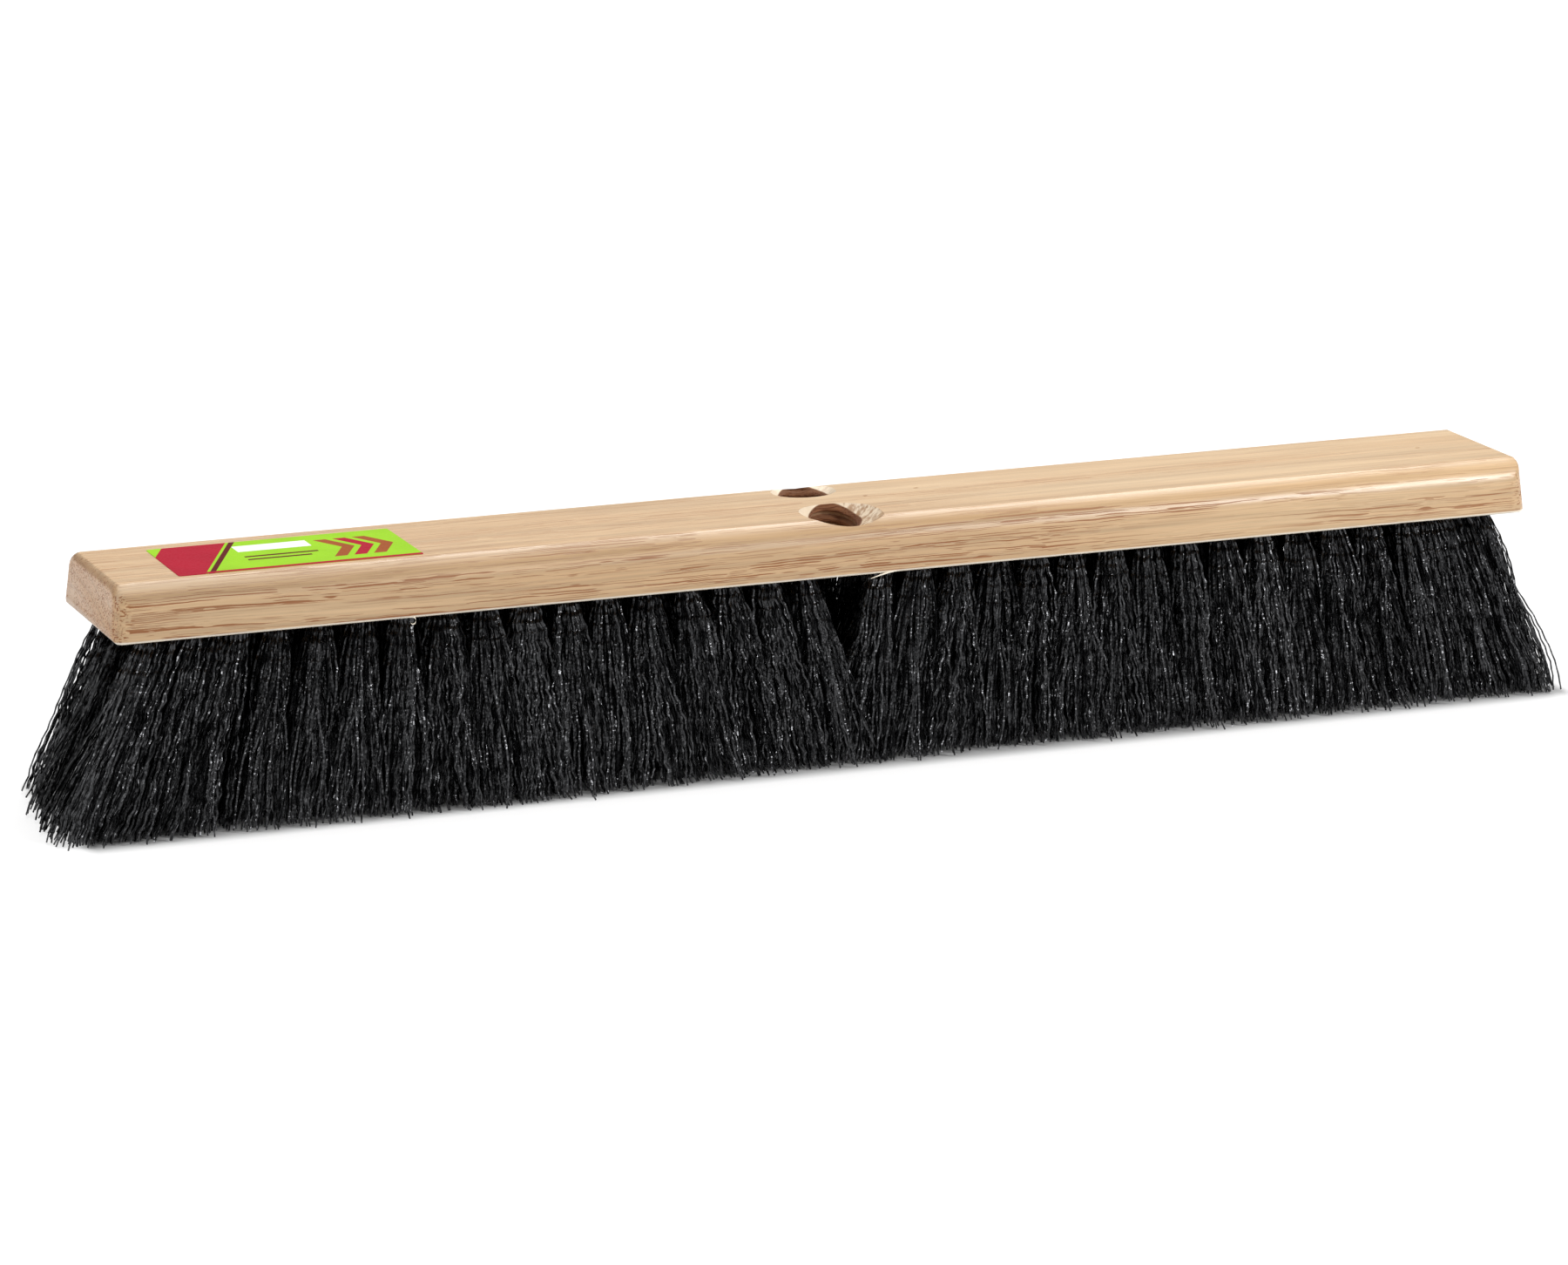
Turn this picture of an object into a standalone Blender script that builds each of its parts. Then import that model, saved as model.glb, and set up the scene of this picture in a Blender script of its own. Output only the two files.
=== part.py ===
"""Push broom head: a moulded wooden block with handle sockets, five rows of bristle tufts and a label.

The head stands on its bristle tips. X runs along the block, +Y to the back and +Z up, in metres.
"""

import math

import bmesh
import bpy
from mathutils import Matrix, Vector

MM = 0.001

# Block: moulded stock, cut to length on a slant and rounded at the corners
BLOCK_LENGTH = 609.6 * MM
BLOCK_WIDTH = 76.2 * MM
BLOCK_HEIGHT = 22.2 * MM
END_DRAFT = math.radians(7.5)
CORNER_RADIUS = 6.5 * MM
CORNER_SEGMENTS = 5
TOP_ROUND_WIDTH = 8.5 * MM
TOP_ROUND_DROP = 9.5 * MM
BOTTOM_EASE = 1.0 * MM
ROUND_STEPS = 6

# Handle sockets: one leans to the front and has a flared mouth, one is a straight bore that leans to the back
SOCKET_LEAN = math.radians(18.0)
SOCKET_BORE = 20.0 * MM
SOCKET_X = 3.0 * MM
SOCKET_FLOOR = 4.0 * MM
SOCKET_STEPS = 32
FRONT_SOCKET_SETBACK = 24.0 * MM
FRONT_MOUTH = 30.0 * MM
FRONT_FLARE_DEPTH = 5.5 * MM
BACK_SOCKET_SETBACK = 16.5 * MM

# Bristles: tufts in staggered rows, each half row a slice of backing with flat-cut strands
TRIM_LENGTH = 76.2 * MM
ROW_COUNT = 5
ROW_SETBACK = 11.0 * MM
TUFT_PITCH = 16.8 * MM
TUFT_DIAMETER = 6.5 * MM
END_SETBACK = 15.0 * MM
SOCKET_LAND = 0.5 * MM
STRANDS_PER_TUFT = 2
STRAND_ROOT_SPACING = 4.0 * MM
STRAND_ROOT_SIZE = (2.8 * MM, 4.6 * MM)
STRAND_TIP_SIZE = (6.6 * MM, 8.5 * MM)
SIDE_SPREAD = 16.5 * MM
END_SPREAD = 25.0 * MM
END_SPREAD_POWER = 4
MIDDLE_CLOSE_REACH = 110.0 * MM
BACKING_THICKNESS = 3.0 * MM
BACKING_RIB = 5.0 * MM

# Label: a thin sheet on the flat of the top, near the left end
LABEL_LENGTH = 99.0 * MM
LABEL_WIDTH = 48.0 * MM
LABEL_THICKNESS = 0.2 * MM
LABEL_END_OFFSET = 30.5 * MM
LABEL_FRONT_OFFSET = 12.0 * MM

# Clearance kept between pieces that touch, and how far a cutter runs past what it cuts
SEAT_GAP = 0.3 * MM
CUT_OVERRUN = 5.0 * MM
MERGE_DISTANCE = 0.01 * MM

UNDERSIDE = TRIM_LENGTH
TOP = UNDERSIDE + BLOCK_HEIGHT
ROW_PITCH = (BLOCK_WIDTH - 2 * ROW_SETBACK) / (ROW_COUNT - 1)
ROW_LIMIT = BLOCK_LENGTH / 2 - END_SETBACK
STRAND_PITCH = TUFT_PITCH / STRANDS_PER_TUFT
BACKING_WIDTH = ROW_PITCH - BACKING_RIB - 2 * SEAT_GAP


def clear_scene():
    """Removes every object, so that the model starts from nothing."""
    for thing in list(bpy.data.objects):
        bpy.data.objects.remove(thing, do_unlink=True)


def new_collection(name, hidden=False):
    """Returns a collection linked to the scene."""
    group = bpy.data.collections.new(name)
    group.hide_render = hidden
    bpy.context.scene.collection.children.link(group)
    return group


def new_material(name, colour, roughness):
    """Returns a Principled BSDF material of one colour."""
    material = bpy.data.materials.new(name)
    material.use_nodes = True
    shader = material.node_tree.nodes["Principled BSDF"]
    shader.inputs["Base Color"].default_value = (*colour, 1.0)
    shader.inputs["Roughness"].default_value = roughness
    shader.inputs["Metallic"].default_value = 0.0
    return material


def mesh_object(name, bm, group, material=None):
    """Turns a bmesh into a named object in a collection."""
    bmesh.ops.recalc_face_normals(bm, faces=bm.faces[:])
    mesh = bpy.data.meshes.new(name)
    bm.to_mesh(mesh)
    bm.free()
    thing = bpy.data.objects.new(name, mesh)
    group.objects.link(thing)
    if material:
        mesh.materials.append(material)
    return thing


def mark_cutter(thing):
    """Shows a cutter as wire and keeps it out of renders."""
    thing.hide_render = True
    thing.display_type = "WIRE"


def cut(target, cutter, operation="DIFFERENCE"):
    """Adds a Boolean modifier that cuts one object with another."""
    step = target.modifiers.new(cutter.name, "BOOLEAN")
    step.operation = operation
    step.solver = "EXACT"
    step.object = cutter


def box(name, low, high, group):
    """Returns a box between two corners."""
    bm = bmesh.new()
    low = Vector(low)
    high = Vector(high)
    size = high - low
    place = Matrix.Translation((low + high) / 2) @ Matrix.Diagonal((*size, 1.0))
    bmesh.ops.create_cube(bm, size=1.0, matrix=place)
    return mesh_object(name, bm, group)


def quarter_round(centre, radius, start, steps):
    """Returns points on a quarter of an ellipse, turning left from a start angle."""
    points = []
    for step in range(steps + 1):
        angle = start + math.pi / 2 * step / steps
        points.append((centre[0] + radius[0] * math.cos(angle), centre[1] + radius[1] * math.sin(angle)))
    return points


def block_profile():
    """Returns the moulded cross-section as points across the block and up from its underside."""
    side = BLOCK_WIDTH / 2
    ease = (BOTTOM_EASE, BOTTOM_EASE)
    crown = (TOP_ROUND_WIDTH, TOP_ROUND_DROP)
    points = quarter_round((side - BOTTOM_EASE, BOTTOM_EASE), ease, -math.pi / 2, 2)
    points += quarter_round((side - TOP_ROUND_WIDTH, BLOCK_HEIGHT - TOP_ROUND_DROP), crown, 0.0, ROUND_STEPS)
    points += [(-y, z) for y, z in reversed(points)]
    return points


def moulded_stock(group, material):
    """Returns the block's stock: its cross-section drawn out along X."""
    curve = bpy.data.curves.new("stock_profile", "CURVE")
    curve.dimensions = "2D"
    curve.fill_mode = "BOTH"
    curve.extrude = BLOCK_LENGTH / 2 + CUT_OVERRUN
    points = block_profile()
    spline = curve.splines.new("POLY")
    spline.points.add(len(points) - 1)
    for point, (across, up) in zip(spline.points, points):
        point.co = (across, up, 0.0, 1.0)
    spline.use_cyclic_u = True
    guide = bpy.data.objects.new("stock_profile", curve)
    group.objects.link(guide)
    mesh = bpy.data.meshes.new_from_object(guide.evaluated_get(bpy.context.evaluated_depsgraph_get()))
    bpy.data.objects.remove(guide, do_unlink=True)
    bm = bmesh.new()
    bm.from_mesh(mesh)
    bpy.data.meshes.remove(mesh)
    bmesh.ops.remove_doubles(bm, verts=bm.verts[:], dist=MERGE_DISTANCE)
    along_x = Matrix(((0, 0, 1, 0), (1, 0, 0, 0), (0, 1, 0, 0), (0, 0, 0, 1)))
    bmesh.ops.transform(bm, matrix=along_x, verts=bm.verts[:])
    return mesh_object("block", bm, group, material)


def end_shaper(group):
    """Returns the slanted, round-cornered envelope that shapes both ends of the stock."""
    low = -CUT_OVERRUN
    high = BLOCK_HEIGHT + CUT_OVERRUN
    side = BLOCK_WIDTH / 2 + SEAT_GAP
    bm = bmesh.new()
    bmesh.ops.create_cube(bm, size=2.0)
    for vert in bm.verts:
        height = high if vert.co.z > 0 else low
        end = BLOCK_LENGTH / 2 - height * math.tan(END_DRAFT)
        vert.co = (math.copysign(end, vert.co.x), math.copysign(side, vert.co.y), height)
    upright = [edge for edge in bm.edges if edge.verts[0].co.z != edge.verts[1].co.z]
    bmesh.ops.bevel(
        bm, geom=upright, offset=CORNER_RADIUS, offset_type="OFFSET", segments=CORNER_SEGMENTS,
        profile=0.5, affect="EDGES",
    )
    return mesh_object("end_shaper", bm, group)


class Socket:
    """One handle socket: where its axis meets the top plane, which way it leans and how wide it opens."""

    def __init__(self, name, side, setback, mouth=SOCKET_BORE, flare_depth=0.0):
        self.name = name
        self.side = side
        self.mouth = mouth
        self.flare_depth = flare_depth
        self.y = side * (BLOCK_WIDTH / 2 - setback)
        rim_drop = SOCKET_BORE / 2 * math.sin(SOCKET_LEAN)
        self.depth = (BLOCK_HEIGHT - SOCKET_FLOOR - rim_drop) / math.cos(SOCKET_LEAN)

    def cutter(self, group):
        """Returns the turned shape that the socket takes out of the block."""
        bore = SOCKET_BORE / 2
        above = self.mouth
        profile = [(0.0, above), (bore, above), (bore, -self.depth), (0.0, -self.depth)]
        if self.flare_depth:
            widen = (self.mouth / 2 - bore) / self.flare_depth
            profile[1:2] = [(self.mouth / 2 + widen * above, above), (bore, -self.flare_depth)]
        bm = bmesh.new()
        corners = [bm.verts.new((radius, 0.0, height)) for radius, height in profile]
        for start, end in zip(corners, corners[1:]):
            bm.edges.new((start, end))
        mesh = bpy.data.meshes.new(self.name)
        bm.to_mesh(mesh)
        bm.free()
        thing = bpy.data.objects.new(self.name, mesh)
        group.objects.link(thing)
        turn = thing.modifiers.new("turn", "SCREW")
        turn.steps = SOCKET_STEPS
        turn.render_steps = SOCKET_STEPS
        turn.use_merge_vertices = True
        turn.merge_threshold = MERGE_DISTANCE
        thing.rotation_euler = (-self.side * SOCKET_LEAN, 0.0, 0.0)
        thing.location = (SOCKET_X, self.y, BLOCK_HEIGHT)
        return thing


def row_y(row):
    """Returns a row's place across the block, from the front."""
    return -BLOCK_WIDTH / 2 + ROW_SETBACK + row * ROW_PITCH


def clear_of_sockets(x, y, sockets):
    """Tells whether a tuft's hole stays clear of the wood below both handle sockets."""
    reach = SOCKET_BORE / 2 + TUFT_DIAMETER / 2 + SOCKET_LAND
    return all(math.hypot(x - SOCKET_X, y - socket.y) >= reach for socket in sockets)


def tuft_places(row, sockets):
    """Returns the tufts' places along one row, every other row shifted by half a pitch."""
    shift = 0.5 if row % 2 else 0.0
    count = math.floor(ROW_LIMIT / TUFT_PITCH - shift)
    steps = [step + shift for step in range(count + 1)]
    steps = sorted({-step for step in steps} | set(steps))
    return [step * TUFT_PITCH for step in steps if clear_of_sockets(step * TUFT_PITCH, row_y(row), sockets)]


def split_row(tufts):
    """Returns a row's tufts as a left half and a right half."""
    return {"left": [x for x in tufts if x < 0], "right": [x for x in tufts if x >= 0]}


def middle_gap(halves):
    """Returns the free ends on either side of a row's middle, before they lean."""
    return halves["left"][-1] + STRAND_PITCH / 2, halves["right"][0] - STRAND_PITCH / 2


def tip_x(x, gap):
    """Returns where a bristle that starts at x along the block ends.

    Bristles fan out near the ends of the block and lean in over a bare stretch at the row's middle.
    """
    low, high = gap
    bare = (high - low - STRAND_PITCH) / 2
    from_gap = low - x if x <= low else x - high
    lean_in = bare * max(0.0, 1.0 - from_gap / MIDDLE_CLOSE_REACH)
    fan_out = math.copysign(END_SPREAD * abs(x / ROW_LIMIT) ** END_SPREAD_POWER, x)
    return x + fan_out + (lean_in if x <= low else -lean_in)


def tip_y(y):
    """Returns where a bristle that starts at y across the block ends, fanned out to front and back."""
    return y * (1.0 + SIDE_SPREAD / row_y(ROW_COUNT - 1))


def backing_span(tufts):
    """Returns the two ends of a half row's backing, half a pitch past its end tufts."""
    return tufts[0] - TUFT_PITCH / 2, tufts[-1] + TUFT_PITCH / 2


def set_quad(face, centre, size, height):
    """Moves a four-sided face's corners to a level rectangle."""
    middle = face.calc_center_median()
    for vert in face.verts:
        x = centre[0] + math.copysign(size[0] / 2, vert.co.x - middle.x)
        y = centre[1] + math.copysign(size[1] / 2, vert.co.y - middle.y)
        vert.co = (x, y, height)


def strand_places(tufts):
    """Returns each strand's root and free end along the row, side by side in each tuft."""
    places = []
    for tuft in tufts:
        for strand in range(STRANDS_PER_TUFT):
            side = strand - (STRANDS_PER_TUFT - 1) / 2
            places.append((tuft + side * STRAND_ROOT_SPACING, tuft + side * STRAND_PITCH))
    return places


def bristle_row(name, row, tufts, gap, group, material):
    """Returns half a row of bristles: strands that run from a slice of backing to the trim plane."""
    places = strand_places(tufts)
    start, end = backing_span(tufts)
    y = row_y(row)
    size = (end - start - 2 * SEAT_GAP, BACKING_WIDTH, BACKING_THICKNESS)
    middle = ((start + end) / 2, y, UNDERSIDE + BACKING_THICKNESS / 2)
    bm = bmesh.new()
    bmesh.ops.create_cube(bm, size=1.0, matrix=Matrix.Translation(middle) @ Matrix.Diagonal((*size, 1.0)))
    floor = min(bm.faces, key=lambda face: face.calc_center_median().z)
    sides = [edge for edge in floor.edges if edge.verts[0].co.y == edge.verts[1].co.y]
    bmesh.ops.subdivide_edges(bm, edges=sides, cuts=len(places) - 1, use_grid_fill=True)
    cells = [face for face in bm.faces if face.normal.z < -0.9]
    cells.sort(key=lambda face: face.calc_center_median().x)
    bmesh.ops.inset_individual(bm, faces=cells, thickness=SEAT_GAP)
    for cell, (root, _) in zip(cells, places):
        set_quad(cell, (root, y), STRAND_ROOT_SIZE, UNDERSIDE)
    strands = bmesh.ops.extrude_discrete_faces(bm, faces=cells)["faces"]
    strands.sort(key=lambda face: face.calc_center_median().x)
    for strand, (_, free_end) in zip(strands, places):
        set_quad(strand, (tip_x(free_end, gap), tip_y(y)), STRAND_TIP_SIZE, 0.0)
    return mesh_object(name, bm, group, material)


def backing_groove(name, row, tufts, group):
    """Returns the groove in the block's underside that one slice of backing sits in."""
    start, end = backing_span(tufts)
    side = BACKING_WIDTH / 2 + SEAT_GAP
    low = (start, row_y(row) - side, -CUT_OVERRUN)
    high = (end, row_y(row) + side, BACKING_THICKNESS + SEAT_GAP)
    return box(name, low, high, group)


def label_sheet(group, material):
    """Returns the label, flat on the block's top near its left end."""
    left = -BLOCK_LENGTH / 2 + LABEL_END_OFFSET
    front = -BLOCK_WIDTH / 2 + LABEL_FRONT_OFFSET
    low = (left, front, TOP + SEAT_GAP)
    high = (left + LABEL_LENGTH, front + LABEL_WIDTH, TOP + SEAT_GAP + LABEL_THICKNESS)
    sheet = box("label", low, high, group)
    sheet.data.materials.append(material)
    return sheet


def main():
    """Builds the broom head."""
    clear_scene()
    parts = new_collection("push_broom_head")
    cutters = new_collection("cutters", hidden=True)
    wood = new_material("pale_hardwood", (0.72, 0.55, 0.36), 0.45)
    bristle = new_material("black_bristle", (0.012, 0.012, 0.014), 0.4)
    paper = new_material("printed_label", (0.35, 0.62, 0.05), 0.35)

    sockets = [
        Socket("front_socket", -1, FRONT_SOCKET_SETBACK, FRONT_MOUTH, FRONT_FLARE_DEPTH),
        Socket("back_socket", 1, BACK_SOCKET_SETBACK),
    ]
    block = moulded_stock(parts, wood)
    tools = [end_shaper(cutters)]
    tools += [socket.cutter(cutters) for socket in sockets]
    for row in range(ROW_COUNT):
        halves = split_row(tuft_places(row, sockets))
        for half, tufts in halves.items():
            bristle_row(f"bristle_row_{row + 1}_{half}", row, tufts, middle_gap(halves), parts, bristle)
            tools.append(backing_groove(f"groove_{row + 1}_{half}", row, tufts, cutters))
    label_sheet(parts, paper)

    frame = bpy.data.objects.new("broom_head_frame", None)
    parts.objects.link(frame)
    block.location.z = UNDERSIDE
    for tool in tools:
        tool.location.z += UNDERSIDE
        mark_cutter(tool)
        cut(block, tool, "INTERSECT" if tool.name == "end_shaper" else "DIFFERENCE")
    for thing in parts.objects:
        if thing.type == "MESH":
            thing.parent = frame


main()
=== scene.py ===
"""Dresses the push broom head: a moulded wooden block, crimped bristles and a printed label.

X runs along the block, +Y to the back and +Z up, in metres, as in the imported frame.
"""

import logging
import math
import random
from collections import Counter
from dataclasses import dataclass, field
from enum import Enum
from typing import Any

import bmesh
import bpy
from mathutils import Matrix, Vector, noise


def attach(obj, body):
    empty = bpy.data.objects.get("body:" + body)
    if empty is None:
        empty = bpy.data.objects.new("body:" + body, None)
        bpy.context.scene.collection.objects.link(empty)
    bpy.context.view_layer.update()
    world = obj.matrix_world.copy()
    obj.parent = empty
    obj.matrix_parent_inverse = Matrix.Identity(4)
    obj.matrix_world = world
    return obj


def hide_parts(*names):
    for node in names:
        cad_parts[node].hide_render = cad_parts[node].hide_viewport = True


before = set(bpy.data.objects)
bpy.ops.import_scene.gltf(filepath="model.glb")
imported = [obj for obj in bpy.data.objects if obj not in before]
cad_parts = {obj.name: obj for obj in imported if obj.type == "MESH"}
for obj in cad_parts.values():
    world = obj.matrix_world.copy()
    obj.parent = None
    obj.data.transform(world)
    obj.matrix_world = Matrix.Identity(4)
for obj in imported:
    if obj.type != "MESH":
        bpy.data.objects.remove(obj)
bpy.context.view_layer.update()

MM = 0.001
BODY = "root"
LOG = logging.getLogger("broom_head")

Colour = tuple[float, float, float]
Point = tuple[float, float]
Triple = tuple[float, float, float]

WHITE: Colour = (1.0, 1.0, 1.0)
MIDDLE_GREY: Triple = (0.5, 0.5, 0.5)
GOLDEN_ANGLE = math.pi * (3.0 - math.sqrt(5.0))
VECTOR = "FLOAT_VECTOR"


class Half(Enum):
    """The two halves of a bristle row."""

    LEFT = "left"
    RIGHT = "right"


class Slot(Enum):
    """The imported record's material slots."""

    WOOD = "block_wood"
    BRISTLE = "bristle"
    LABEL = "label_sheet"


class Wiring:
    """Adds nodes to one node tree and joins them."""

    def __init__(self, tree: bpy.types.NodeTree) -> None:
        """Keeps the tree that the nodes go into."""
        self.tree = tree

    def feed(self, socket: bpy.types.NodeSocket, value: Any) -> None:
        """Links an output to an input, or sets the input's own value.

        Args:
            socket: the input.
            value: an output socket or a plain value.
        """
        if isinstance(value, bpy.types.NodeSocket):
            self.tree.links.new(value, socket)
        else:
            socket.default_value = value

    def add(self, kind: str, inputs: dict[Any, Any] | None = None, **settings: Any) -> bpy.types.Node:
        """Adds one node.

        Args:
            kind: Blender's own name for the type of node.
            inputs: what goes into each input, by its name or place.
            **settings: the node's own properties.

        Returns:
            The new node.
        """
        node = self.tree.nodes.new(kind)
        for name, value in settings.items():
            setattr(node, name, value)
        for key, value in (inputs or {}).items():
            self.feed(node.inputs[key], value)
        return node

    def math(self, operation: str, *values: Any, clamp: bool = False) -> bpy.types.NodeSocket:
        """Returns the output of a Math node.

        Args:
            operation: what the node does.
            *values: its inputs in order.
            clamp: whether the result stays between 0 and 1.

        Returns:
            The node's output.
        """
        node = self.add("ShaderNodeMath", dict(enumerate(values)), operation=operation, use_clamp=clamp)
        return node.outputs[0]

    def vector(self, operation: str, *values: Any) -> bpy.types.NodeSocket:
        """Returns the output of a Vector Math node.

        Args:
            operation: what the node does. SCALE takes a vector and a number.
            *values: its inputs in order.

        Returns:
            The vector, or the number where the operation gives one.
        """
        places = (0, 3) if operation == "SCALE" else range(len(values))
        node = self.add("ShaderNodeVectorMath", dict(zip(places, values)), operation=operation)
        return node.outputs["Value" if operation in ("LENGTH", "DOT_PRODUCT", "DISTANCE") else "Vector"]

    def split(self, value: Any) -> bpy.types.bpy_prop_collection:
        """Returns the X, Y and Z of a vector."""
        return self.add("ShaderNodeSeparateXYZ", {0: value}).outputs

    def join(self, **parts: Any) -> bpy.types.NodeSocket:
        """Returns a vector made of the X, Y and Z that are given, with 0 for the others."""
        return self.add("ShaderNodeCombineXYZ", parts).outputs[0]

    def blend(self, factor: Any, first: Any, second: Any, mode: str = "MIX") -> bpy.types.NodeSocket:
        """Returns a mix of two colours.

        Args:
            factor: the share of the second.
            first: a colour of four numbers, or a socket.
            second: a colour of four numbers, or a socket.
            mode: the blend mode.

        Returns:
            The mixed colour.
        """
        inputs = {0: factor, 6: first, 7: second}
        return self.add("ShaderNodeMix", inputs, data_type="RGBA", blend_type=mode).outputs[2]

    def ramp(
        self, value: Any, low: float, high: float, start: float = 0.0, end: float = 1.0,
    ) -> bpy.types.NodeSocket:
        """Returns a value mapped smoothly from one range to another.

        Args:
            value: the number to map.
            low: where the range starts.
            high: where the range ends.
            start: the result at the range's start.
            end: the result at the range's end.

        Returns:
            The mapped number.
        """
        inputs = {"Value": value, "From Min": low, "From Max": high, "To Min": start, "To Max": end}
        return self.add("ShaderNodeMapRange", inputs, interpolation_type="SMOOTHSTEP").outputs["Result"]

    def group(self, tree: bpy.types.NodeTree, inputs: dict[str, Any]) -> bpy.types.bpy_prop_collection:
        """Returns the outputs of a shader group that is placed with its own values."""
        return self.add("ShaderNodeGroup", node_tree=tree, inputs=inputs).outputs

    def bump(self, height: Any, distance: float, strength: float = 1.0) -> bpy.types.NodeSocket:
        """Returns the normal of a surface with a fine relief.

        Args:
            height: the relief.
            distance: how far a height of 1 stands out, in metres.
            strength: the share of the relief that shows.

        Returns:
            The bent normal.
        """
        inputs = {"Strength": strength, "Distance": distance, "Height": height}
        return self.add("ShaderNodeBump", inputs).outputs["Normal"]

    def noise(self, place: Any, stretch: Triple, detail: float = 2.0) -> bpy.types.Node:
        """Returns a noise texture on stretched coordinates.

        Args:
            place: the coordinates, in metres.
            stretch: features to a metre along each axis.
            detail: how many finer layers it has.

        Returns:
            The noise node.
        """
        scaled = self.vector("MULTIPLY", place, stretch)
        return self.add("ShaderNodeTexNoise", {"Vector": scaled, "Scale": 1.0, "Detail": detail})

    def offset(self, place: Any, stretch: Triple, detail: float) -> bpy.types.NodeSocket:
        """Returns a noise vector about zero, to move a pattern or a point by."""
        return self.vector("SUBTRACT", self.noise(place, stretch, detail).outputs["Color"], MIDDLE_GREY)


def rgba(colour: Colour) -> tuple[float, float, float, float]:
    """Returns an opaque colour."""
    return (*colour, 1.0)


def new_group(name: str, kind: str, inputs: dict[str, str], outputs: dict[str, str]) -> bpy.types.NodeTree:
    """Makes an empty node group with named sockets.

    Args:
        name: the group's name.
        kind: the type of tree.
        inputs: the kind of each input by its name, such as Float or Vector.
        outputs: the kind of each output by its name.

    Returns:
        The group.
    """
    tree = bpy.data.node_groups.new(name, kind)
    for way, sockets in (("INPUT", inputs), ("OUTPUT", outputs)):
        for label, socket in sockets.items():
            tree.interface.new_socket(label, in_out=way, socket_type=f"NodeSocket{socket}")
    return tree


def new_finish(name: str) -> tuple[bpy.types.Material, Wiring, bpy.types.Node]:
    """Makes a material with a Principled BSDF.

    Args:
        name: the material's name.

    Returns:
        The material, the wiring of its tree and its shader.
    """
    material = bpy.data.materials.new(name)
    material.use_nodes = True
    wiring = Wiring(material.node_tree)
    return material, wiring, material.node_tree.nodes["Principled BSDF"]


def new_object(name: str, mesh: bpy.types.Mesh) -> bpy.types.Object:
    """Returns an object with that mesh, linked to the scene."""
    thing = bpy.data.objects.new(name, mesh)
    bpy.context.scene.collection.objects.link(thing)
    return thing


def mesh_of(name: str, bm: bmesh.types.BMesh) -> bpy.types.Mesh:
    """Turns a bmesh into a mesh whose faces point outwards.

    Args:
        name: the mesh's name.
        bm: the bmesh, which is freed.

    Returns:
        The mesh.
    """
    bmesh.ops.recalc_face_normals(bm, faces=bm.faces[:])
    mesh = bpy.data.meshes.new(name)
    bm.to_mesh(mesh)
    bm.free()
    return mesh


def clamp(value: float, low: float = 0.0, high: float = 1.0) -> float:
    """Returns a value held between two limits."""
    return max(low, min(high, value))


def skin_rings(bm: bmesh.types.BMesh, rings: list[list[bmesh.types.BMVert]]) -> None:
    """Joins closed rings of points, one after another, with four-sided faces.

    Args:
        bm: the bmesh that holds the points.
        rings: rings with the same number of points.
    """
    for near, far in zip(rings, rings[1:]):
        count = len(near)
        for spot in range(count):
            after = (spot + 1) % count
            bm.faces.new((near[spot], near[after], far[after], far[spot]))


def settled(thing: bpy.types.Object) -> bpy.types.Object:
    """Turns an object's modifiers into plain mesh.

    Args:
        thing: the object.

    Returns:
        The same object, without modifiers.
    """
    graph = bpy.context.evaluated_depsgraph_get()
    mesh = bpy.data.meshes.new_from_object(thing.evaluated_get(graph))
    mesh.name = thing.name
    thing.modifiers.clear()
    thing.data = mesh
    return thing


def install(thing: bpy.types.Object, nodes: list[str]) -> None:
    """Puts a finished piece on the frame.

    Args:
        thing: the piece.
        nodes: the CAD nodes that it stands for.
    """
    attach(thing, BODY)
    if nodes:
        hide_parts(*nodes)
    triangles = sum(len(face.vertices) - 2 for face in thing.data.polygons)
    LOG.info("%s: %d triangles", thing.name, triangles)


# Finishes


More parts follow.
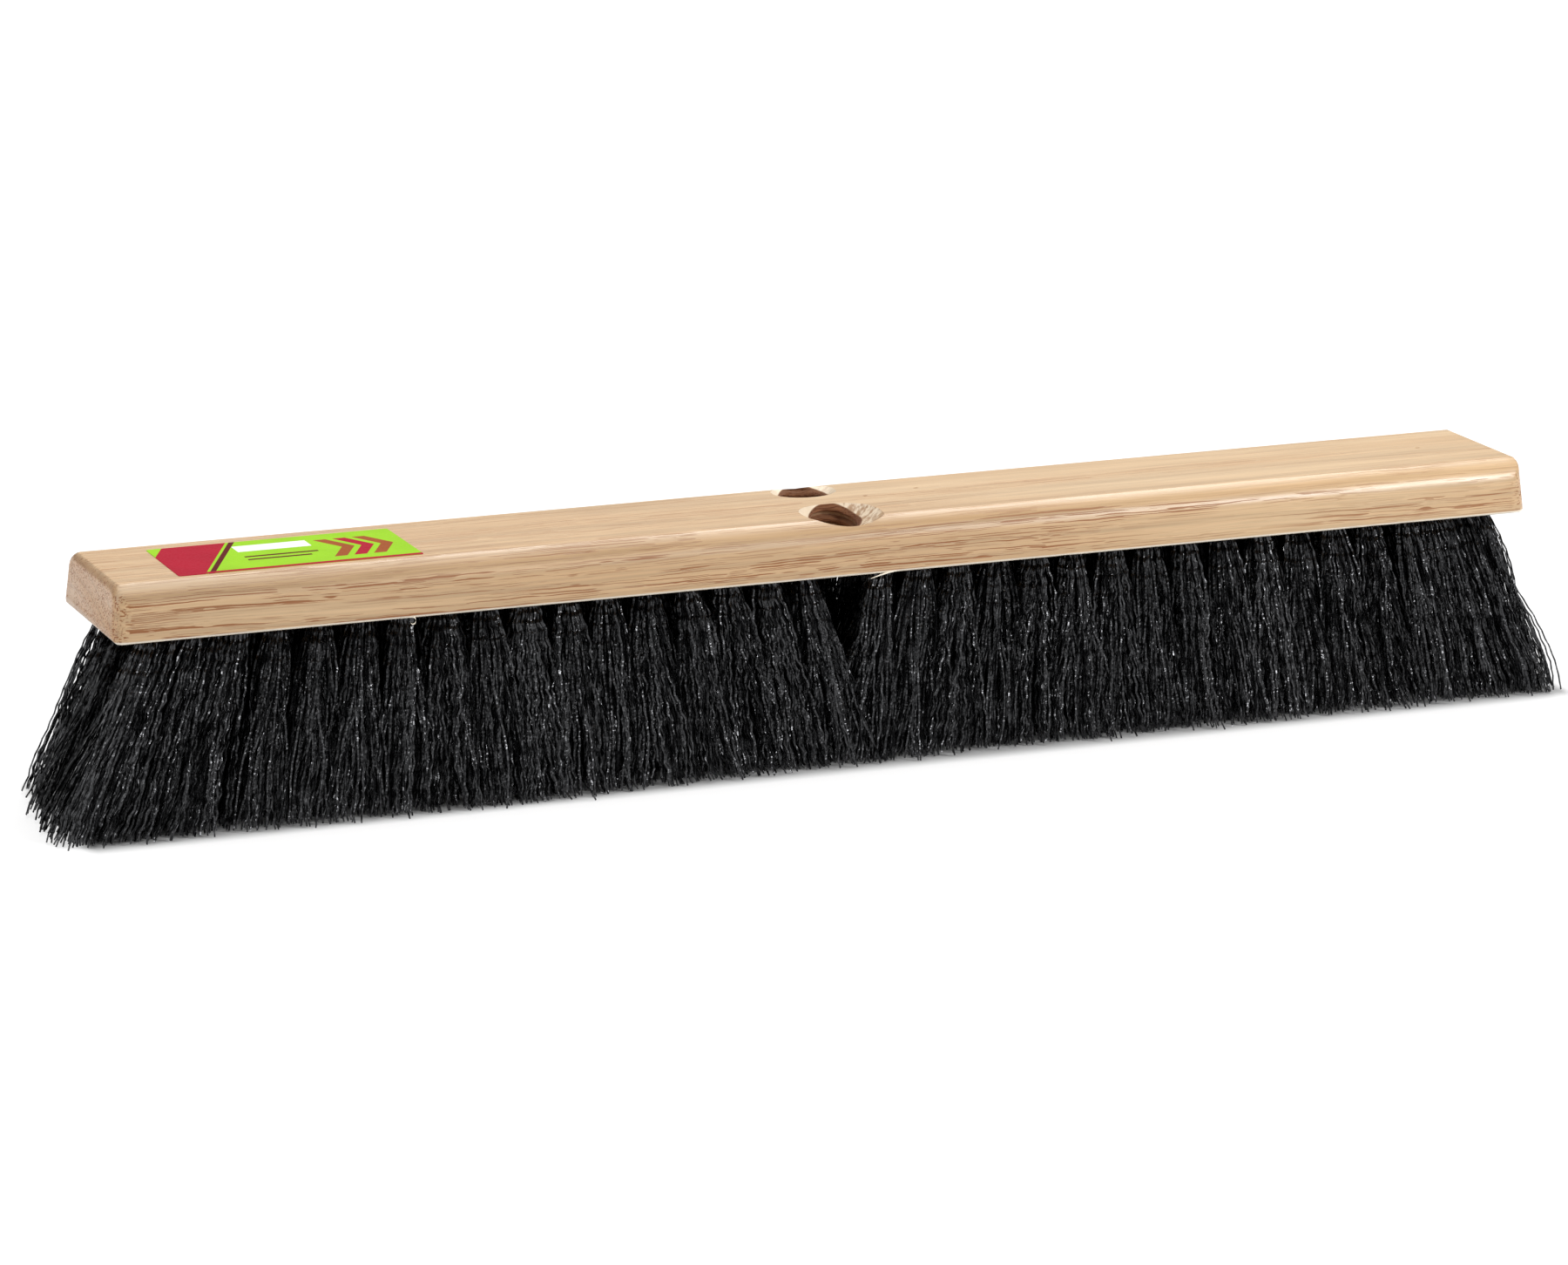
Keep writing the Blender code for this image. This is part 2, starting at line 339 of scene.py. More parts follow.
@dataclass(frozen=True)
class WoodFinish:
    """Pale straight-grained hardwood under a thin satin lacquer. Grains are in features to a metre."""

    pale: Colour = (0.71, 0.515, 0.31)
    tan: Colour = (0.62, 0.415, 0.23)
    # Painted shade: darkens and warms the upright faces against the top.
    side_painted_shade: Colour = (0.93, 0.89, 0.84)
    vessel: Colour = (0.31, 0.112, 0.024)
    end_tint: Colour = (0.97, 0.86, 0.82)
    # Painted shade for the rounded top edges.
    round_painted_shade: Colour = (0.73, 0.71, 0.69)
    rubbed: Colour = (0.80, 0.66, 0.49)
    # Wear with a painted highlight along the lower edge.
    worn_edge_highlight: Colour = (0.96, 0.88, 0.74)
    # Torn grain darkened with painted shade, for the right side of a flare.
    torn: Colour = (0.40, 0.235, 0.12)
    # Painted shade for the inside of the bores.
    bore_painted_shade: Colour = (0.31, 0.17, 0.088)
    ring_spacing: float = 5.5 * MM
    ring_contrast: float = 0.10
    pith: Point = (24 * MM, -20 * MM)
    wander: float = 9 * MM
    vessel_waver: float = 0.9 * MM
    bump_height: float = 0.12 * MM
    bump_strength: float = 0.55
    shine: float = 0.7
    wander_grain: Triple = (3.2, 11.0, 11.0)
    fibre_grain: Triple = (16.0, 900.0, 900.0)
    tone_grain: Triple = (3.0, 22.0, 30.0)
    waver_grain: Triple = (70.0, 70.0, 70.0)
    bold_grain: Triple = (15.0, 1700.0, 1700.0)
    thin_grain: Triple = (30.0, 2500.0, 2500.0)
    crowd_grain: Triple = (5.0, 90.0, 110.0)
    stroke_grain: Triple = (500.0, 1100.0, 130.0)
    shred_grain: Triple = (520.0, 520.0, 60.0)
    ring_band: Point = (0.2, 1.0)
    ring_light: float = 1.03
    bold_band: Point = (0.625, 0.66)
    thin_band: Point = (0.63, 0.67)
    thin_strength: float = 0.7
    crowd_ends: Point = (-250 * MM, 250 * MM)
    crowd_shift: Point = (0.11, -0.05)
    crowd_band: Point = (0.36, 0.60)
    crowd_shares: Point = (0.15, 1.0)
    tone_band: Point = (0.32, 0.68)
    crowded_band: Point = (0.4, 1.0)
    crowded_pale: Point = (1.0, 0.4)
    fibre_band: Point = (0.28, 0.72)
    fibre_shades: Point = (0.90, 1.07)
    # Painted sheen: the vessel lines are fainter on faces that look up, as the lacquer's glare washes them
    # out there.
    top_facing: Point = (0.2, 0.98)
    glare_faded_vessels: Point = (1.0, 0.6)
    end_facing: Point = (0.35, 0.95)
    stroke_band: Point = (0.35, 0.65)
    stroke_shares: Point = (0.2, 1.0)
    side_facing: Point = (0.97, 0.75)
    round_upper: Point = (0.99, 0.93)
    round_lower: Point = (0.2, 0.6)
    # Where along the block the painted shade of the rounded edges fades out.
    round_shade_ends: Point = (-300 * MM, 300 * MM)
    round_shade_shares: Point = (1.0, 0.2)
    under_facing: Point = (-0.95, -0.7)
    wall_facing: Point = (-0.40, -0.55)
    shred_band: Point = (0.40, 0.66)
    gloss_band: Point = (0.25, 0.75)
    gloss_range: Point = (0.28, 0.38)
    pore_roughness: float = 0.2
    bare_roughness: float = 0.5
    pore_depth: float = 0.8
    bore_reach: Point = (0.6 * MM, 1.1 * MM)
    flare_reach: Point = (7.0 * MM, 9.0 * MM)
    shade_split_reach: float = 7.0 * MM
    worn_highlight_band: Point = (0.6 * MM, 1.3 * MM)

    def figure(self) -> bpy.types.NodeTree:
        """Builds the shader group that draws rings, fibres and vessel lines through the solid.

        Returns:
            The group.
        """
        inputs = {
            "Vector": "Vector", "Pale": "Color", "Tan": "Color", "Vessel": "Color",
            "Vessel Strength": "Float",
        }
        outputs = {"Colour": "Color", "Pores": "Float", "Fibre": "Float"}
        tree = new_group("wood_figure", "ShaderNodeTree", inputs, outputs)
        w = Wiring(tree)
        given = w.add("NodeGroupInput").outputs
        drift = w.vector("SCALE", w.offset(given["Vector"], self.wander_grain, 2.0), self.wander)
        place = w.vector("ADD", given["Vector"], drift)

        from_pith = w.vector("SUBTRACT", place, (0.0, *self.pith))
        across = w.vector("MULTIPLY", from_pith, (0.0, 1.0, 1.0))
        turns = w.math("MULTIPLY", w.vector("LENGTH", across), math.tau / self.ring_spacing)
        late_wood = w.ramp(w.math("SINE", turns), *self.ring_band)

        fibre = w.noise(place, self.fibre_grain, 4.0).outputs["Fac"]
        tone = w.noise(place, self.tone_grain, 2.0).outputs["Fac"]
        waver = w.vector("SCALE", w.offset(place, self.waver_grain, 1.0), self.vessel_waver)
        wavered = w.vector("ADD", place, waver)
        bold = w.noise(wavered, self.bold_grain, 0.0).outputs["Fac"]
        bold = w.ramp(bold, *self.bold_band)
        thin = w.noise(wavered, self.thin_grain, 0.0).outputs["Fac"]
        thin = w.ramp(thin, *self.thin_band, 0.0, self.thin_strength)
        crowd = w.noise(place, self.crowd_grain, 2.0).outputs["Fac"]
        crowd = w.math("ADD", crowd, w.ramp(w.split(place)["X"], *self.crowd_ends, *self.crowd_shift))
        crowd = w.ramp(crowd, *self.crowd_band, *self.crowd_shares)
        vessels = w.math("MULTIPLY", w.math("MAXIMUM", bold, thin), crowd)

        spared = w.ramp(crowd, *self.crowded_band, *self.crowded_pale)
        even = w.math("MULTIPLY", w.ramp(tone, *self.tone_band), spared)
        colour = w.blend(even, given["Tan"], given["Pale"])
        ring_shade = w.math("MULTIPLY_ADD", late_wood, -self.ring_contrast, self.ring_light)
        fibre_shade = w.ramp(fibre, *self.fibre_band, *self.fibre_shades)
        shade = w.math("MULTIPLY", ring_shade, fibre_shade)
        colour = w.vector("SCALE", colour, shade)
        amount = w.math("MULTIPLY", vessels, given["Vessel Strength"])
        colour = w.blend(amount, colour, given["Vessel"])
        w.add("NodeGroupOutput", {"Colour": colour, "Pores": vessels, "Fibre": fibre})
        return tree

    def stain(self) -> bpy.types.NodeTree:
        """Builds the shader group that finds the bare wall of one bore, which gets painted shade, and the
        wall of its flare, whose right side gets torn grain with painted shade.

        Returns:
            The group.
        """
        inputs = {
            "Vector": "Vector", "Normal": "Vector", "Centre": "Vector", "Axis": "Vector", "Radius": "Float",
        }
        outputs = {"Bore": "Float", "Flare": "Float", "Right": "Float"}
        tree = new_group("bore_stain", "ShaderNodeTree", inputs, outputs)
        w = Wiring(tree)
        given = w.add("NodeGroupInput").outputs
        spot = w.vector("SUBTRACT", given["Vector"], given["Centre"])
        along = w.vector("SCALE", given["Axis"], w.vector("DOT_PRODUCT", spot, given["Axis"]))
        outward = w.vector("SUBTRACT", spot, along)
        past = w.math("SUBTRACT", w.vector("LENGTH", outward), given["Radius"])
        inward = w.vector("DOT_PRODUCT", w.vector("NORMALIZE", outward), given["Normal"])
        facing = w.ramp(inward, *self.wall_facing)
        wall = w.math("MULTIPLY", facing, w.ramp(past, *reversed(self.flare_reach)))
        bore = w.math("MULTIPLY", wall, w.ramp(past, *reversed(self.bore_reach)))
        flare = w.math("MULTIPLY", wall, w.ramp(past, *self.bore_reach))
        # Painted shade: the flare's right side, which faces away from the key lamp, is marked for the dark
        # torn colour.
        right = w.ramp(w.split(spot)["X"], -self.shade_split_reach, self.shade_split_reach)
        w.add("NodeGroupOutput", {"Bore": bore, "Flare": flare, "Right": right})
        return tree

    def material(self, block: "Block") -> bpy.types.Material:
        """Builds the lacquered wood.

        Args:
            block: the block, for the places of its bores and of its lower edge, which is lightened as wear
                with a painted highlight.

        Returns:
            The material.
        """
        material, w, shader = new_finish("lacquered_hardwood")
        place = w.add("ShaderNodeTexCoord").outputs["Object"]
        spot = w.split(place)
        normal = w.add("ShaderNodeNewGeometry").outputs["Normal"]
        facing = w.split(normal)
        # The vessel lines are made fainter on the top: painted sheen, standing in for the lacquer's glare.
        figure = w.group(self.figure(), {
            "Vector": place, "Pale": rgba(self.pale), "Tan": rgba(self.tan), "Vessel": rgba(self.vessel),
            "Vessel Strength": w.ramp(facing["Z"], *self.top_facing, *self.glare_faded_vessels),
        })
        end_grain = w.ramp(w.math("ABSOLUTE", facing["X"]), *self.end_facing)
        strokes = w.noise(place, self.stroke_grain, 2.0).outputs["Fac"]
        strokes = w.ramp(strokes, *self.stroke_band, *self.stroke_shares)
        end_share = w.math("MULTIPLY", end_grain, strokes)
        # Painted shade: the upright faces are darkened and warmed against the top, standing in for the
        # whitish sheen that the top catches from the lamps.
        upright = w.ramp(facing["Z"], *self.side_facing)
        colour = w.blend(upright, figure["Colour"], rgba(self.side_painted_shade), "MULTIPLY")
        colour = w.blend(end_share, colour, rgba(self.end_tint), "MULTIPLY")
        # Painted shade on the rounded top edges, strongest at the left end and fading to the right, to darken
        # the band that the lamps light there.
        upper, lower = (w.ramp(facing["Z"], *band) for band in (self.round_upper, self.round_lower))
        rounded = w.math("MULTIPLY", upper, lower)
        rounded = w.math("MULTIPLY", rounded, w.ramp(spot["X"], *self.round_shade_ends, *self.round_shade_shares))
        colour = w.blend(rounded, colour, rgba(self.round_painted_shade), "MULTIPLY")
        # Wear with a painted highlight: the lowest band of the sides is lightened as light from the floor
        # would catch the eased edge.
        above = w.math("SUBTRACT", spot["Z"], block.underside)
        worn = w.ramp(above, *reversed(self.worn_highlight_band))
        worn = w.math("MULTIPLY", worn, w.ramp(facing["Z"], *self.under_facing))
        colour = w.blend(worn, colour, rgba(self.worn_edge_highlight))
        stain = self.stain()
        shreds = w.ramp(w.noise(place, self.shred_grain, 2.0).outputs["Fac"], *self.shred_band)
        bare = 0.0
        for socket in block.sockets:
            cut = w.group(stain, {
                "Vector": place, "Normal": normal, "Centre": (socket.x, socket.y, block.top),
                "Axis": socket.axis, "Radius": socket.bore / 2,
            })
            # The right side of each flare gets the dark torn colour: torn grain with painted shade.
            torn_and_shaded = w.math("MULTIPLY", shreds, w.math("MULTIPLY", cut["Right"], socket.torn_and_shaded))
            ragged = w.blend(torn_and_shaded, rgba(self.rubbed), rgba(self.torn))
            colour = w.blend(cut["Flare"], colour, ragged)
            # Painted shade inside the bore: its wall is darkened to a deep brown.
            colour = w.blend(cut["Bore"], colour, rgba(self.bore_painted_shade), "MULTIPLY")
            bare = w.math("MAXIMUM", cut["Bore"], bare)
        w.feed(shader.inputs["Base Color"], colour)
        roughness = w.ramp(figure["Fibre"], *self.gloss_band, *self.gloss_range)
        roughness = w.math("MULTIPLY_ADD", figure["Pores"], self.pore_roughness, roughness)
        roughness = w.math("MULTIPLY_ADD", bare, self.bare_roughness, roughness)
        w.feed(shader.inputs["Roughness"], roughness)
        height = w.math("MULTIPLY_ADD", figure["Pores"], -self.pore_depth, figure["Fibre"])
        w.feed(shader.inputs["Normal"], w.bump(height, self.bump_height, self.bump_strength))
        shader.inputs["Specular IOR Level"].default_value = self.shine
        return material


@dataclass(frozen=True)
class BristleFinish:
    """Black crimped plastic filament with a slight gloss."""

    name: str
    gloss: float
    dark: Colour = (0.001, 0.001, 0.0011)
    light: Colour = (0.0035, 0.0035, 0.004)
    sheen_tint: Colour = (0.95, 0.96, 1.0)
    scuff_grain: Triple = (900.0, 900.0, 260.0)
    scuff_band: Point = (0.3, 0.7)
    scuff_roughness: Point = (0.18, 0.28)
    shade_roughness: float = 0.10
    ripple_depth: float = 0.26 * MM

    def material(self) -> bpy.types.Material:
        """Builds the black plastic, each filament with its own shade.

        Returns:
            The material.
        """
        material, w, shader = new_finish(self.name)
        shade = w.add("ShaderNodeAttribute", attribute_name="shade").outputs["Fac"]
        place = w.add("ShaderNodeTexCoord").outputs["Object"]
        scuff = w.noise(place, self.scuff_grain, 2.0).outputs["Fac"]
        w.feed(shader.inputs["Base Color"], w.blend(shade, rgba(self.dark), rgba(self.light)))
        scuff = w.ramp(scuff, *self.scuff_band, *self.scuff_roughness)
        roughness = w.math("MULTIPLY_ADD", shade, self.shade_roughness, scuff)
        w.feed(shader.inputs["Roughness"], roughness)
        ripple = w.add("ShaderNodeAttribute", attribute_name="ripple").outputs["Fac"]
        height = w.math("SINE", w.math("MULTIPLY", ripple, math.tau))
        w.feed(shader.inputs["Normal"], w.bump(height, self.ripple_depth))
        shader.inputs["Specular IOR Level"].default_value = self.gloss
        shader.inputs["Specular Tint"].default_value = rgba(self.sheen_tint)
        return material


@dataclass(frozen=True)
class PrintedShape:
    """One bar of ink, which may slant or fold into a chevron, in millimetres from the label's middle."""

    ink: Colour
    middle: Point
    half: Point
    slant: float = 0.0
    fold: float = 0.0


@dataclass(frozen=True)
class LabelFinish:
    """Printed paper: a lime ground with a crimson end, a white bar, thin lines and chevrons."""

    centre: Point
    ground: Colour = (0.31, 0.60, 0.022)
    crimson: Colour = (0.40, 0.010, 0.030)
    white: Colour = (0.86, 0.86, 0.84)
    brown: Colour = (0.33, 0.085, 0.022)
    maroon: Colour = (0.11, 0.010, 0.010)
    end_slant: float = -0.45
    chevron_fold: float = 0.5
    chevron_half: Point = (2.6, 15.0)
    print_blur: float = 0.05 * MM
    paper_grain: Triple = (900.0, 900.0, 900.0)
    wash_grain: Triple = (60.0, 60.0, 60.0)
    grain_band: Point = (0.3, 0.7)
    wash_shades: Point = (0.95, 1.03)
    paper_roughness: Point = (0.40, 0.52)
    bump_height: float = 0.03 * MM
    bump_strength: float = 0.15
    shine: float = 0.05

    def shapes(self) -> list[PrintedShape]:
        """Lists what is printed on the ground, from the lowest layer up.

        Returns:
            The shapes.
        """
        chevrons = [
            PrintedShape(ink, (x, 0.0), self.chevron_half, fold=self.chevron_fold)
            for ink, x in ((self.brown, 26.0), (self.crimson, 34.0), (self.brown, 42.0))
        ]
        return [
            PrintedShape(self.crimson, (-41.0, 0.0), (13.0, 30.0), self.end_slant),
            PrintedShape(self.maroon, (-25.5, 0.0), (1.2, 30.0), self.end_slant),
            PrintedShape(self.white, (-2.0, 11.5), (15.0, 5.0)),
            PrintedShape(self.maroon, (-2.0, -2.5), (15.0, 1.0)),
            PrintedShape(self.maroon, (-4.0, -7.5), (13.0, 1.0)),
            *chevrons,
            PrintedShape(self.crimson, (0.0, -22.6), (60.0, 1.4)),
        ]

    def bar(self) -> bpy.types.NodeTree:
        """Builds the shader group for one printed shape, a bar that may slant or fold into a chevron.

        Returns:
            The group.
        """
        inputs = {
            "Vector": "Vector", "Centre": "Vector", "Half Size": "Vector", "Slant": "Float", "Fold": "Float",
        }
        tree = new_group("printed_bar", "ShaderNodeTree", inputs, {"Mask": "Float"})
        w = Wiring(tree)
        given = w.add("NodeGroupInput").outputs
        spot = w.split(w.vector("SUBTRACT", given["Vector"], given["Centre"]))
        half = w.split(given["Half Size"])
        leaned = w.math("MULTIPLY_ADD", spot["Y"], given["Slant"], spot["X"])
        folded = w.math("MULTIPLY_ADD", w.math("ABSOLUTE", spot["Y"]), given["Fold"], leaned)
        past_x = w.math("SUBTRACT", w.math("ABSOLUTE", folded), half["X"])
        past_y = w.math("SUBTRACT", w.math("ABSOLUTE", spot["Y"]), half["Y"])
        inside = w.ramp(w.math("MAXIMUM", past_x, past_y), self.print_blur, -self.print_blur)
        w.add("NodeGroupOutput", {"Mask": inside})
        return tree

    def material(self) -> bpy.types.Material:
        """Builds the printed sheet.

        Returns:
            The material.
        """
        material, w, shader = new_finish("printed_label")
        place = w.add("ShaderNodeTexCoord").outputs["Object"]
        local = w.vector("SUBTRACT", place, (*self.centre, 0.0))
        bar = self.bar()
        colour = rgba(self.ground)
        for shape in self.shapes():
            printed = w.group(bar, {
                "Vector": local, "Centre": Vector((*shape.middle, 0.0)) * MM,
                "Half Size": Vector((*shape.half, 0.0)) * MM, "Slant": shape.slant, "Fold": shape.fold,
            })
            colour = w.blend(printed["Mask"], colour, rgba(shape.ink))
        paper = w.noise(place, self.paper_grain, 3.0).outputs["Fac"]
        wash = w.noise(place, self.wash_grain, 2.0).outputs["Fac"]
        wash = w.ramp(wash, *self.grain_band, *self.wash_shades)
        w.feed(shader.inputs["Base Color"], w.vector("SCALE", colour, wash))
        w.feed(shader.inputs["Roughness"], w.ramp(paper, *self.grain_band, *self.paper_roughness))
        shader.inputs["Specular IOR Level"].default_value = self.shine
        w.feed(shader.inputs["Normal"], w.bump(paper, self.bump_height, self.bump_strength))
        return material


# Wooden block


@dataclass
class Socket:
    """One handle socket: a threaded bore that leans to one side, its mouth torn open along the grain."""

    side: int
    y: float
    mouth: float
    flare_depth: float
    inner_share: float
    outer_share: float
    torn_and_shaded: float
    x: float = 3.0 * MM
    bore: float = 20.0 * MM
    lean: float = math.radians(18.0)
    depth: float = 15.9 * MM
    thread_pitch: float = 5.08 * MM
    thread_depth: float = 0.8 * MM
    thread_flat: float = 1.6
    tear: float = 0.30 * MM
    tear_round: Point = (1.5, 10.0)
    tear_length: float = 1.8 * MM
    cut_above: float = 5 * MM
    steps: int = 80
    ring_gap: float = 0.5 * MM

    @property
    def axis(self) -> Triple:
        """The way that the bore runs, upwards."""
        return 0.0, self.side * math.sin(self.lean), math.cos(self.lean)

    def flare(self, turn: float) -> float:
        """Gives the share of the flare that one side of the mouth has.

        Args:
            turn: the angle round the axis.

        Returns:
            1 along the block, and the inner or the outer share across it.
        """
        outward = math.sin(turn) * self.side
        share = self.outer_share if outward > 0 else self.inner_share
        return math.cos(turn) ** 2 + share * math.sin(turn) ** 2

    def radius(self, turn: float, height: float) -> float:
        """Gives the cut's radius.

        Args:
            turn: the angle round the axis.
            height: the place along the axis, from the block's top plane and up.

        Returns:
            The distance from the axis.
        """
        bore = self.bore / 2
        slope = (self.mouth / 2 - bore) / self.flare_depth
        level = height * math.cos(self.lean) - self.side * bore * math.sin(turn) * math.sin(self.lean)
        above = level + self.flare_depth * self.flare(turn)
        wave = self.thread_flat * math.sin(math.tau * height / self.thread_pitch - turn)
        thread = self.thread_depth * clamp(-above / MM) * clamp(wave, -1.0)
        along, across = self.tear_round
        rough = noise.noise((along * math.cos(turn), across * math.sin(turn), height / self.tear_length))
        torn = self.tear * rough * abs(math.cos(turn)) * clamp(above / MM)
        return bore + slope * max(0.0, above) + thread + torn

    def heights(self) -> list[float]:
        """Returns the places along the axis where the cut is described, from the top down."""
        reach = self.cut_above + self.depth
        count = math.ceil(reach / self.ring_gap)
        return [self.mouth] + [self.cut_above - reach * step / count for step in range(count + 1)]

    def cutter(self, top: float) -> bpy.types.Object:
        """Builds the shape that the socket takes out of the block.

        Args:
            top: the height of the block's top plane.

        Returns:
            The cutter.
        """
        bm = bmesh.new()
        rings = []
        for height in self.heights():
            ring = []
            for step in range(self.steps):
                turn = math.tau * step / self.steps
                radius = self.radius(turn, height)
                ring.append(bm.verts.new((radius * math.cos(turn), radius * math.sin(turn), height)))
            rings.append(ring)
        skin_rings(bm, rings)
        bm.faces.new(rings[0])
        bm.faces.new(rings[-1])
        place = Matrix.Translation((self.x, self.y, top)) @ Matrix.Rotation(-self.side * self.lean, 4, "X")
        bmesh.ops.transform(bm, matrix=place, verts=bm.verts[:])
        return new_object("socket_cutter", mesh_of("socket_cutter", bm))


@dataclass
class Block:
    """The moulded block: rounded along its top edges, cut on a slant at the ends, bored and drilled."""

    length: float = 609.6 * MM
    width: float = 76.2 * MM
    height: float = 22.2 * MM
    underside: float = 76.2 * MM
    draft: float = math.radians(7.5)
    corner_radius: float = 6.5 * MM
    round_width: float = 8.5 * MM
    round_drop: float = 9.5 * MM
    round_sweep: float = math.radians(74.0)
    round_steps: int = 11
    bottom_ease: float = 1.0 * MM
    bottom_steps: int = 3
    low_ease: float = 1.0 * MM
    high_ease: Point = (3.2 * MM, 1.0 * MM)
    ease_steps: int = 5
    end_insets: tuple[float, ...] = (0.6 * MM, 1.3 * MM, 2.2 * MM, 3.2 * MM)
    support: float = 0.5 * MM
    stations: int = 160
    wobble: float = 0.10 * MM
    wobble_size: Triple = (14 * MM, 20 * MM, 9 * MM)
    hole_diameter: float = 8.4 * MM
    hole_depth: float = 5.0 * MM
    hole_sides: int = 12
    drill_over: float = 2 * MM
    sockets: list[Socket] = field(default_factory=lambda: [
        Socket(side=-1, y=-14.1 * MM, mouth=32.0 * MM, flare_depth=5.0 * MM, inner_share=0.12,
               outer_share=1.6, torn_and_shaded=1.0),
        Socket(side=1, y=21.6 * MM, mouth=27.0 * MM, flare_depth=3.0 * MM, inner_share=0.10,
               outer_share=0.12, torn_and_shaded=0.35),
    ])
    pits: tuple[Point, ...] = ((23.2 * MM, 5.0 * MM), (47.8 * MM, 10.7 * MM), (272.6 * MM, 1.5 * MM))
    pit_radii: Point = (0.5 * MM, 0.8 * MM)
    pit_stretch: float = 1.7
    pit_depth: float = 3.0 * MM
    pit_sides: int = 8
    chips: tuple[float, ...] = (224 * MM, 232 * MM, 249 * MM, -143 * MM, 96 * MM)
    chip_length: float = 4.5 * MM
    chip_depth: float = 0.7 * MM
    chip_grain: float = 1.5 * MM
    chip_seed: float = 3.0
    sharp_angle: float = math.radians(38.0)
    level_normal: float = 0.9999
    level_slack: float = 0.1 * MM
    crease_slack: float = 0.15 * MM
    socket_zone: float = 60 * MM

    @property
    def top(self) -> float:
        """The height of the top plane."""
        return self.underside + self.height

    def profile(self) -> list[Point]:
        """Draws the cross-section.

        Returns:
            Points across the block and up from its underside, once round.
        """
        side = self.width / 2
        reach = self.round_width / (1.0 - math.cos(self.round_sweep))
        rise = self.round_drop / math.sin(self.round_sweep)
        shoulder = self.height - self.round_drop
        points = [(side - self.bottom_ease - self.support, 0.0)]
        for step in range(self.bottom_steps + 1):
            turn = math.pi / 2 * step / self.bottom_steps
            inset = self.bottom_ease * (1.0 - math.sin(turn))
            points.append((side - inset, self.bottom_ease * (1.0 - math.cos(turn))))
        points.append((side, self.bottom_ease + self.support))
        points.append((side, shoulder - self.support))
        for step in range(self.round_steps + 1):
            turn = self.round_sweep * step / self.round_steps
            points.append((side - reach * (1.0 - math.cos(turn)), shoulder + rise * math.sin(turn)))
        points.append((side - self.round_width - self.support, self.height))
        return points + [(-y, up) for y, up in reversed(points)]

    def end_reach(self, y: float, up: float) -> float:
        """Tells how far the end cut lies from the block's middle.

        Args:
            y: the place across the block.
            up: the height above the underside.

        Returns:
            The distance along X.
        """
        into_corner = max(0.0, abs(y) - (self.width / 2 - self.corner_radius))
        into_corner = min(into_corner, self.corner_radius)
        rounded = self.corner_radius - math.sqrt(self.corner_radius ** 2 - into_corner ** 2)
        return self.length / 2 - up * math.tan(self.draft) - rounded

    def ease_at(self, end: float, up: float) -> float:
        """Returns how far an end's edge is rounded at a height, least at the underside."""
        high = self.high_ease[0 if end < 0 else 1]
        return self.low_ease + (high - self.low_ease) * up / self.height

    def drawn_in(self, spot: Point, inset: float) -> Point:
        """Returns a point of the cross-section moved in from its edge."""
        middle = self.height / 2
        return spot[0] * (1.0 - 2 * inset / self.width), middle + (spot[1] - middle) * (1.0 - inset / middle)

    def worn(self, x: float, y: float, up: float) -> Vector:
        """Moves a point of the outside a little, as sanding and handling do.

        Args:
            x: the place along the block.
            y: the place across it.
            up: the height above the underside.

        Returns:
            The moved point, in the frame.
        """
        low = up < self.bottom_ease + self.support / 2
        front = y < 2 * self.bottom_ease - self.width / 2
        shift = self.wobble * noise.noise([way / size for way, size in zip((x, y, up), self.wobble_size)])
        spot = Vector((x, y + math.copysign(shift, y), self.underside + up))
        if low and front:
            for chip in self.chips:
                near = max(0.0, 1.0 - abs(x - chip) / self.chip_length)
                rough = abs(noise.noise((x / self.chip_grain, self.chip_seed, chip)))
                spot.z += self.chip_depth * near * rough
        return spot

    def shell(self) -> bpy.types.Mesh:
        """Builds the outside of the block, closed at both ends.

        Returns:
            The mesh.
        """
        outline = self.profile()
        bm = bmesh.new()
        rings = []
        for step in range(self.stations + 1):
            share = 2.0 * step / self.stations - 1.0
            ring = []
            for y, up in outline:
                reach = self.end_reach(y, up) - self.ease_at(share, up)
                ring.append(bm.verts.new(self.worn(share * reach, y, up)))
            rings.append(ring)
        skin_rings(bm, rings)
        turns = [math.pi / 2 * (step + 1) / self.ease_steps for step in range(self.ease_steps)]
        eased = [(1.0 - math.cos(turn), 1.0 - math.sin(turn), 0.0) for turn in turns]
        eased += [(1.0, 0.0, inset) for inset in self.end_insets]
        for end, ring in ((-1, rings[0]), (1, rings[-1])):
            steps = [ring]
            for inward, short, further in eased:
                places = []
                for spot in outline:
                    ease = self.ease_at(end, spot[1])
                    y, up = self.drawn_in(spot, inward * ease + further)
                    places.append((end * (self.end_reach(y, up) - short * ease), y, self.underside + up))
                steps.append([bm.verts.new(place) for place in places])
            skin_rings(bm, steps)
            bm.faces.new(steps[-1])
        return mesh_of("wood_block", bm)

    def drill(self, places: list[Point]) -> bpy.types.Object:
        """Builds the cutter for the tuft holes in the underside.

        Args:
            places: each hole's place along and across the block.

        Returns:
            The cutter.
        """
        bm = bmesh.new()
        radius = self.hole_diameter / 2
        middle = self.underside + (self.hole_depth - self.drill_over) / 2
        for x, y in places:
            bmesh.ops.create_cone(
                bm, cap_ends=True, segments=self.hole_sides, radius1=radius, radius2=radius,
                depth=self.hole_depth + self.drill_over, matrix=Matrix.Translation((x, y, middle)),
            )
        return new_object("tuft_drill", mesh_of("tuft_drill", bm))

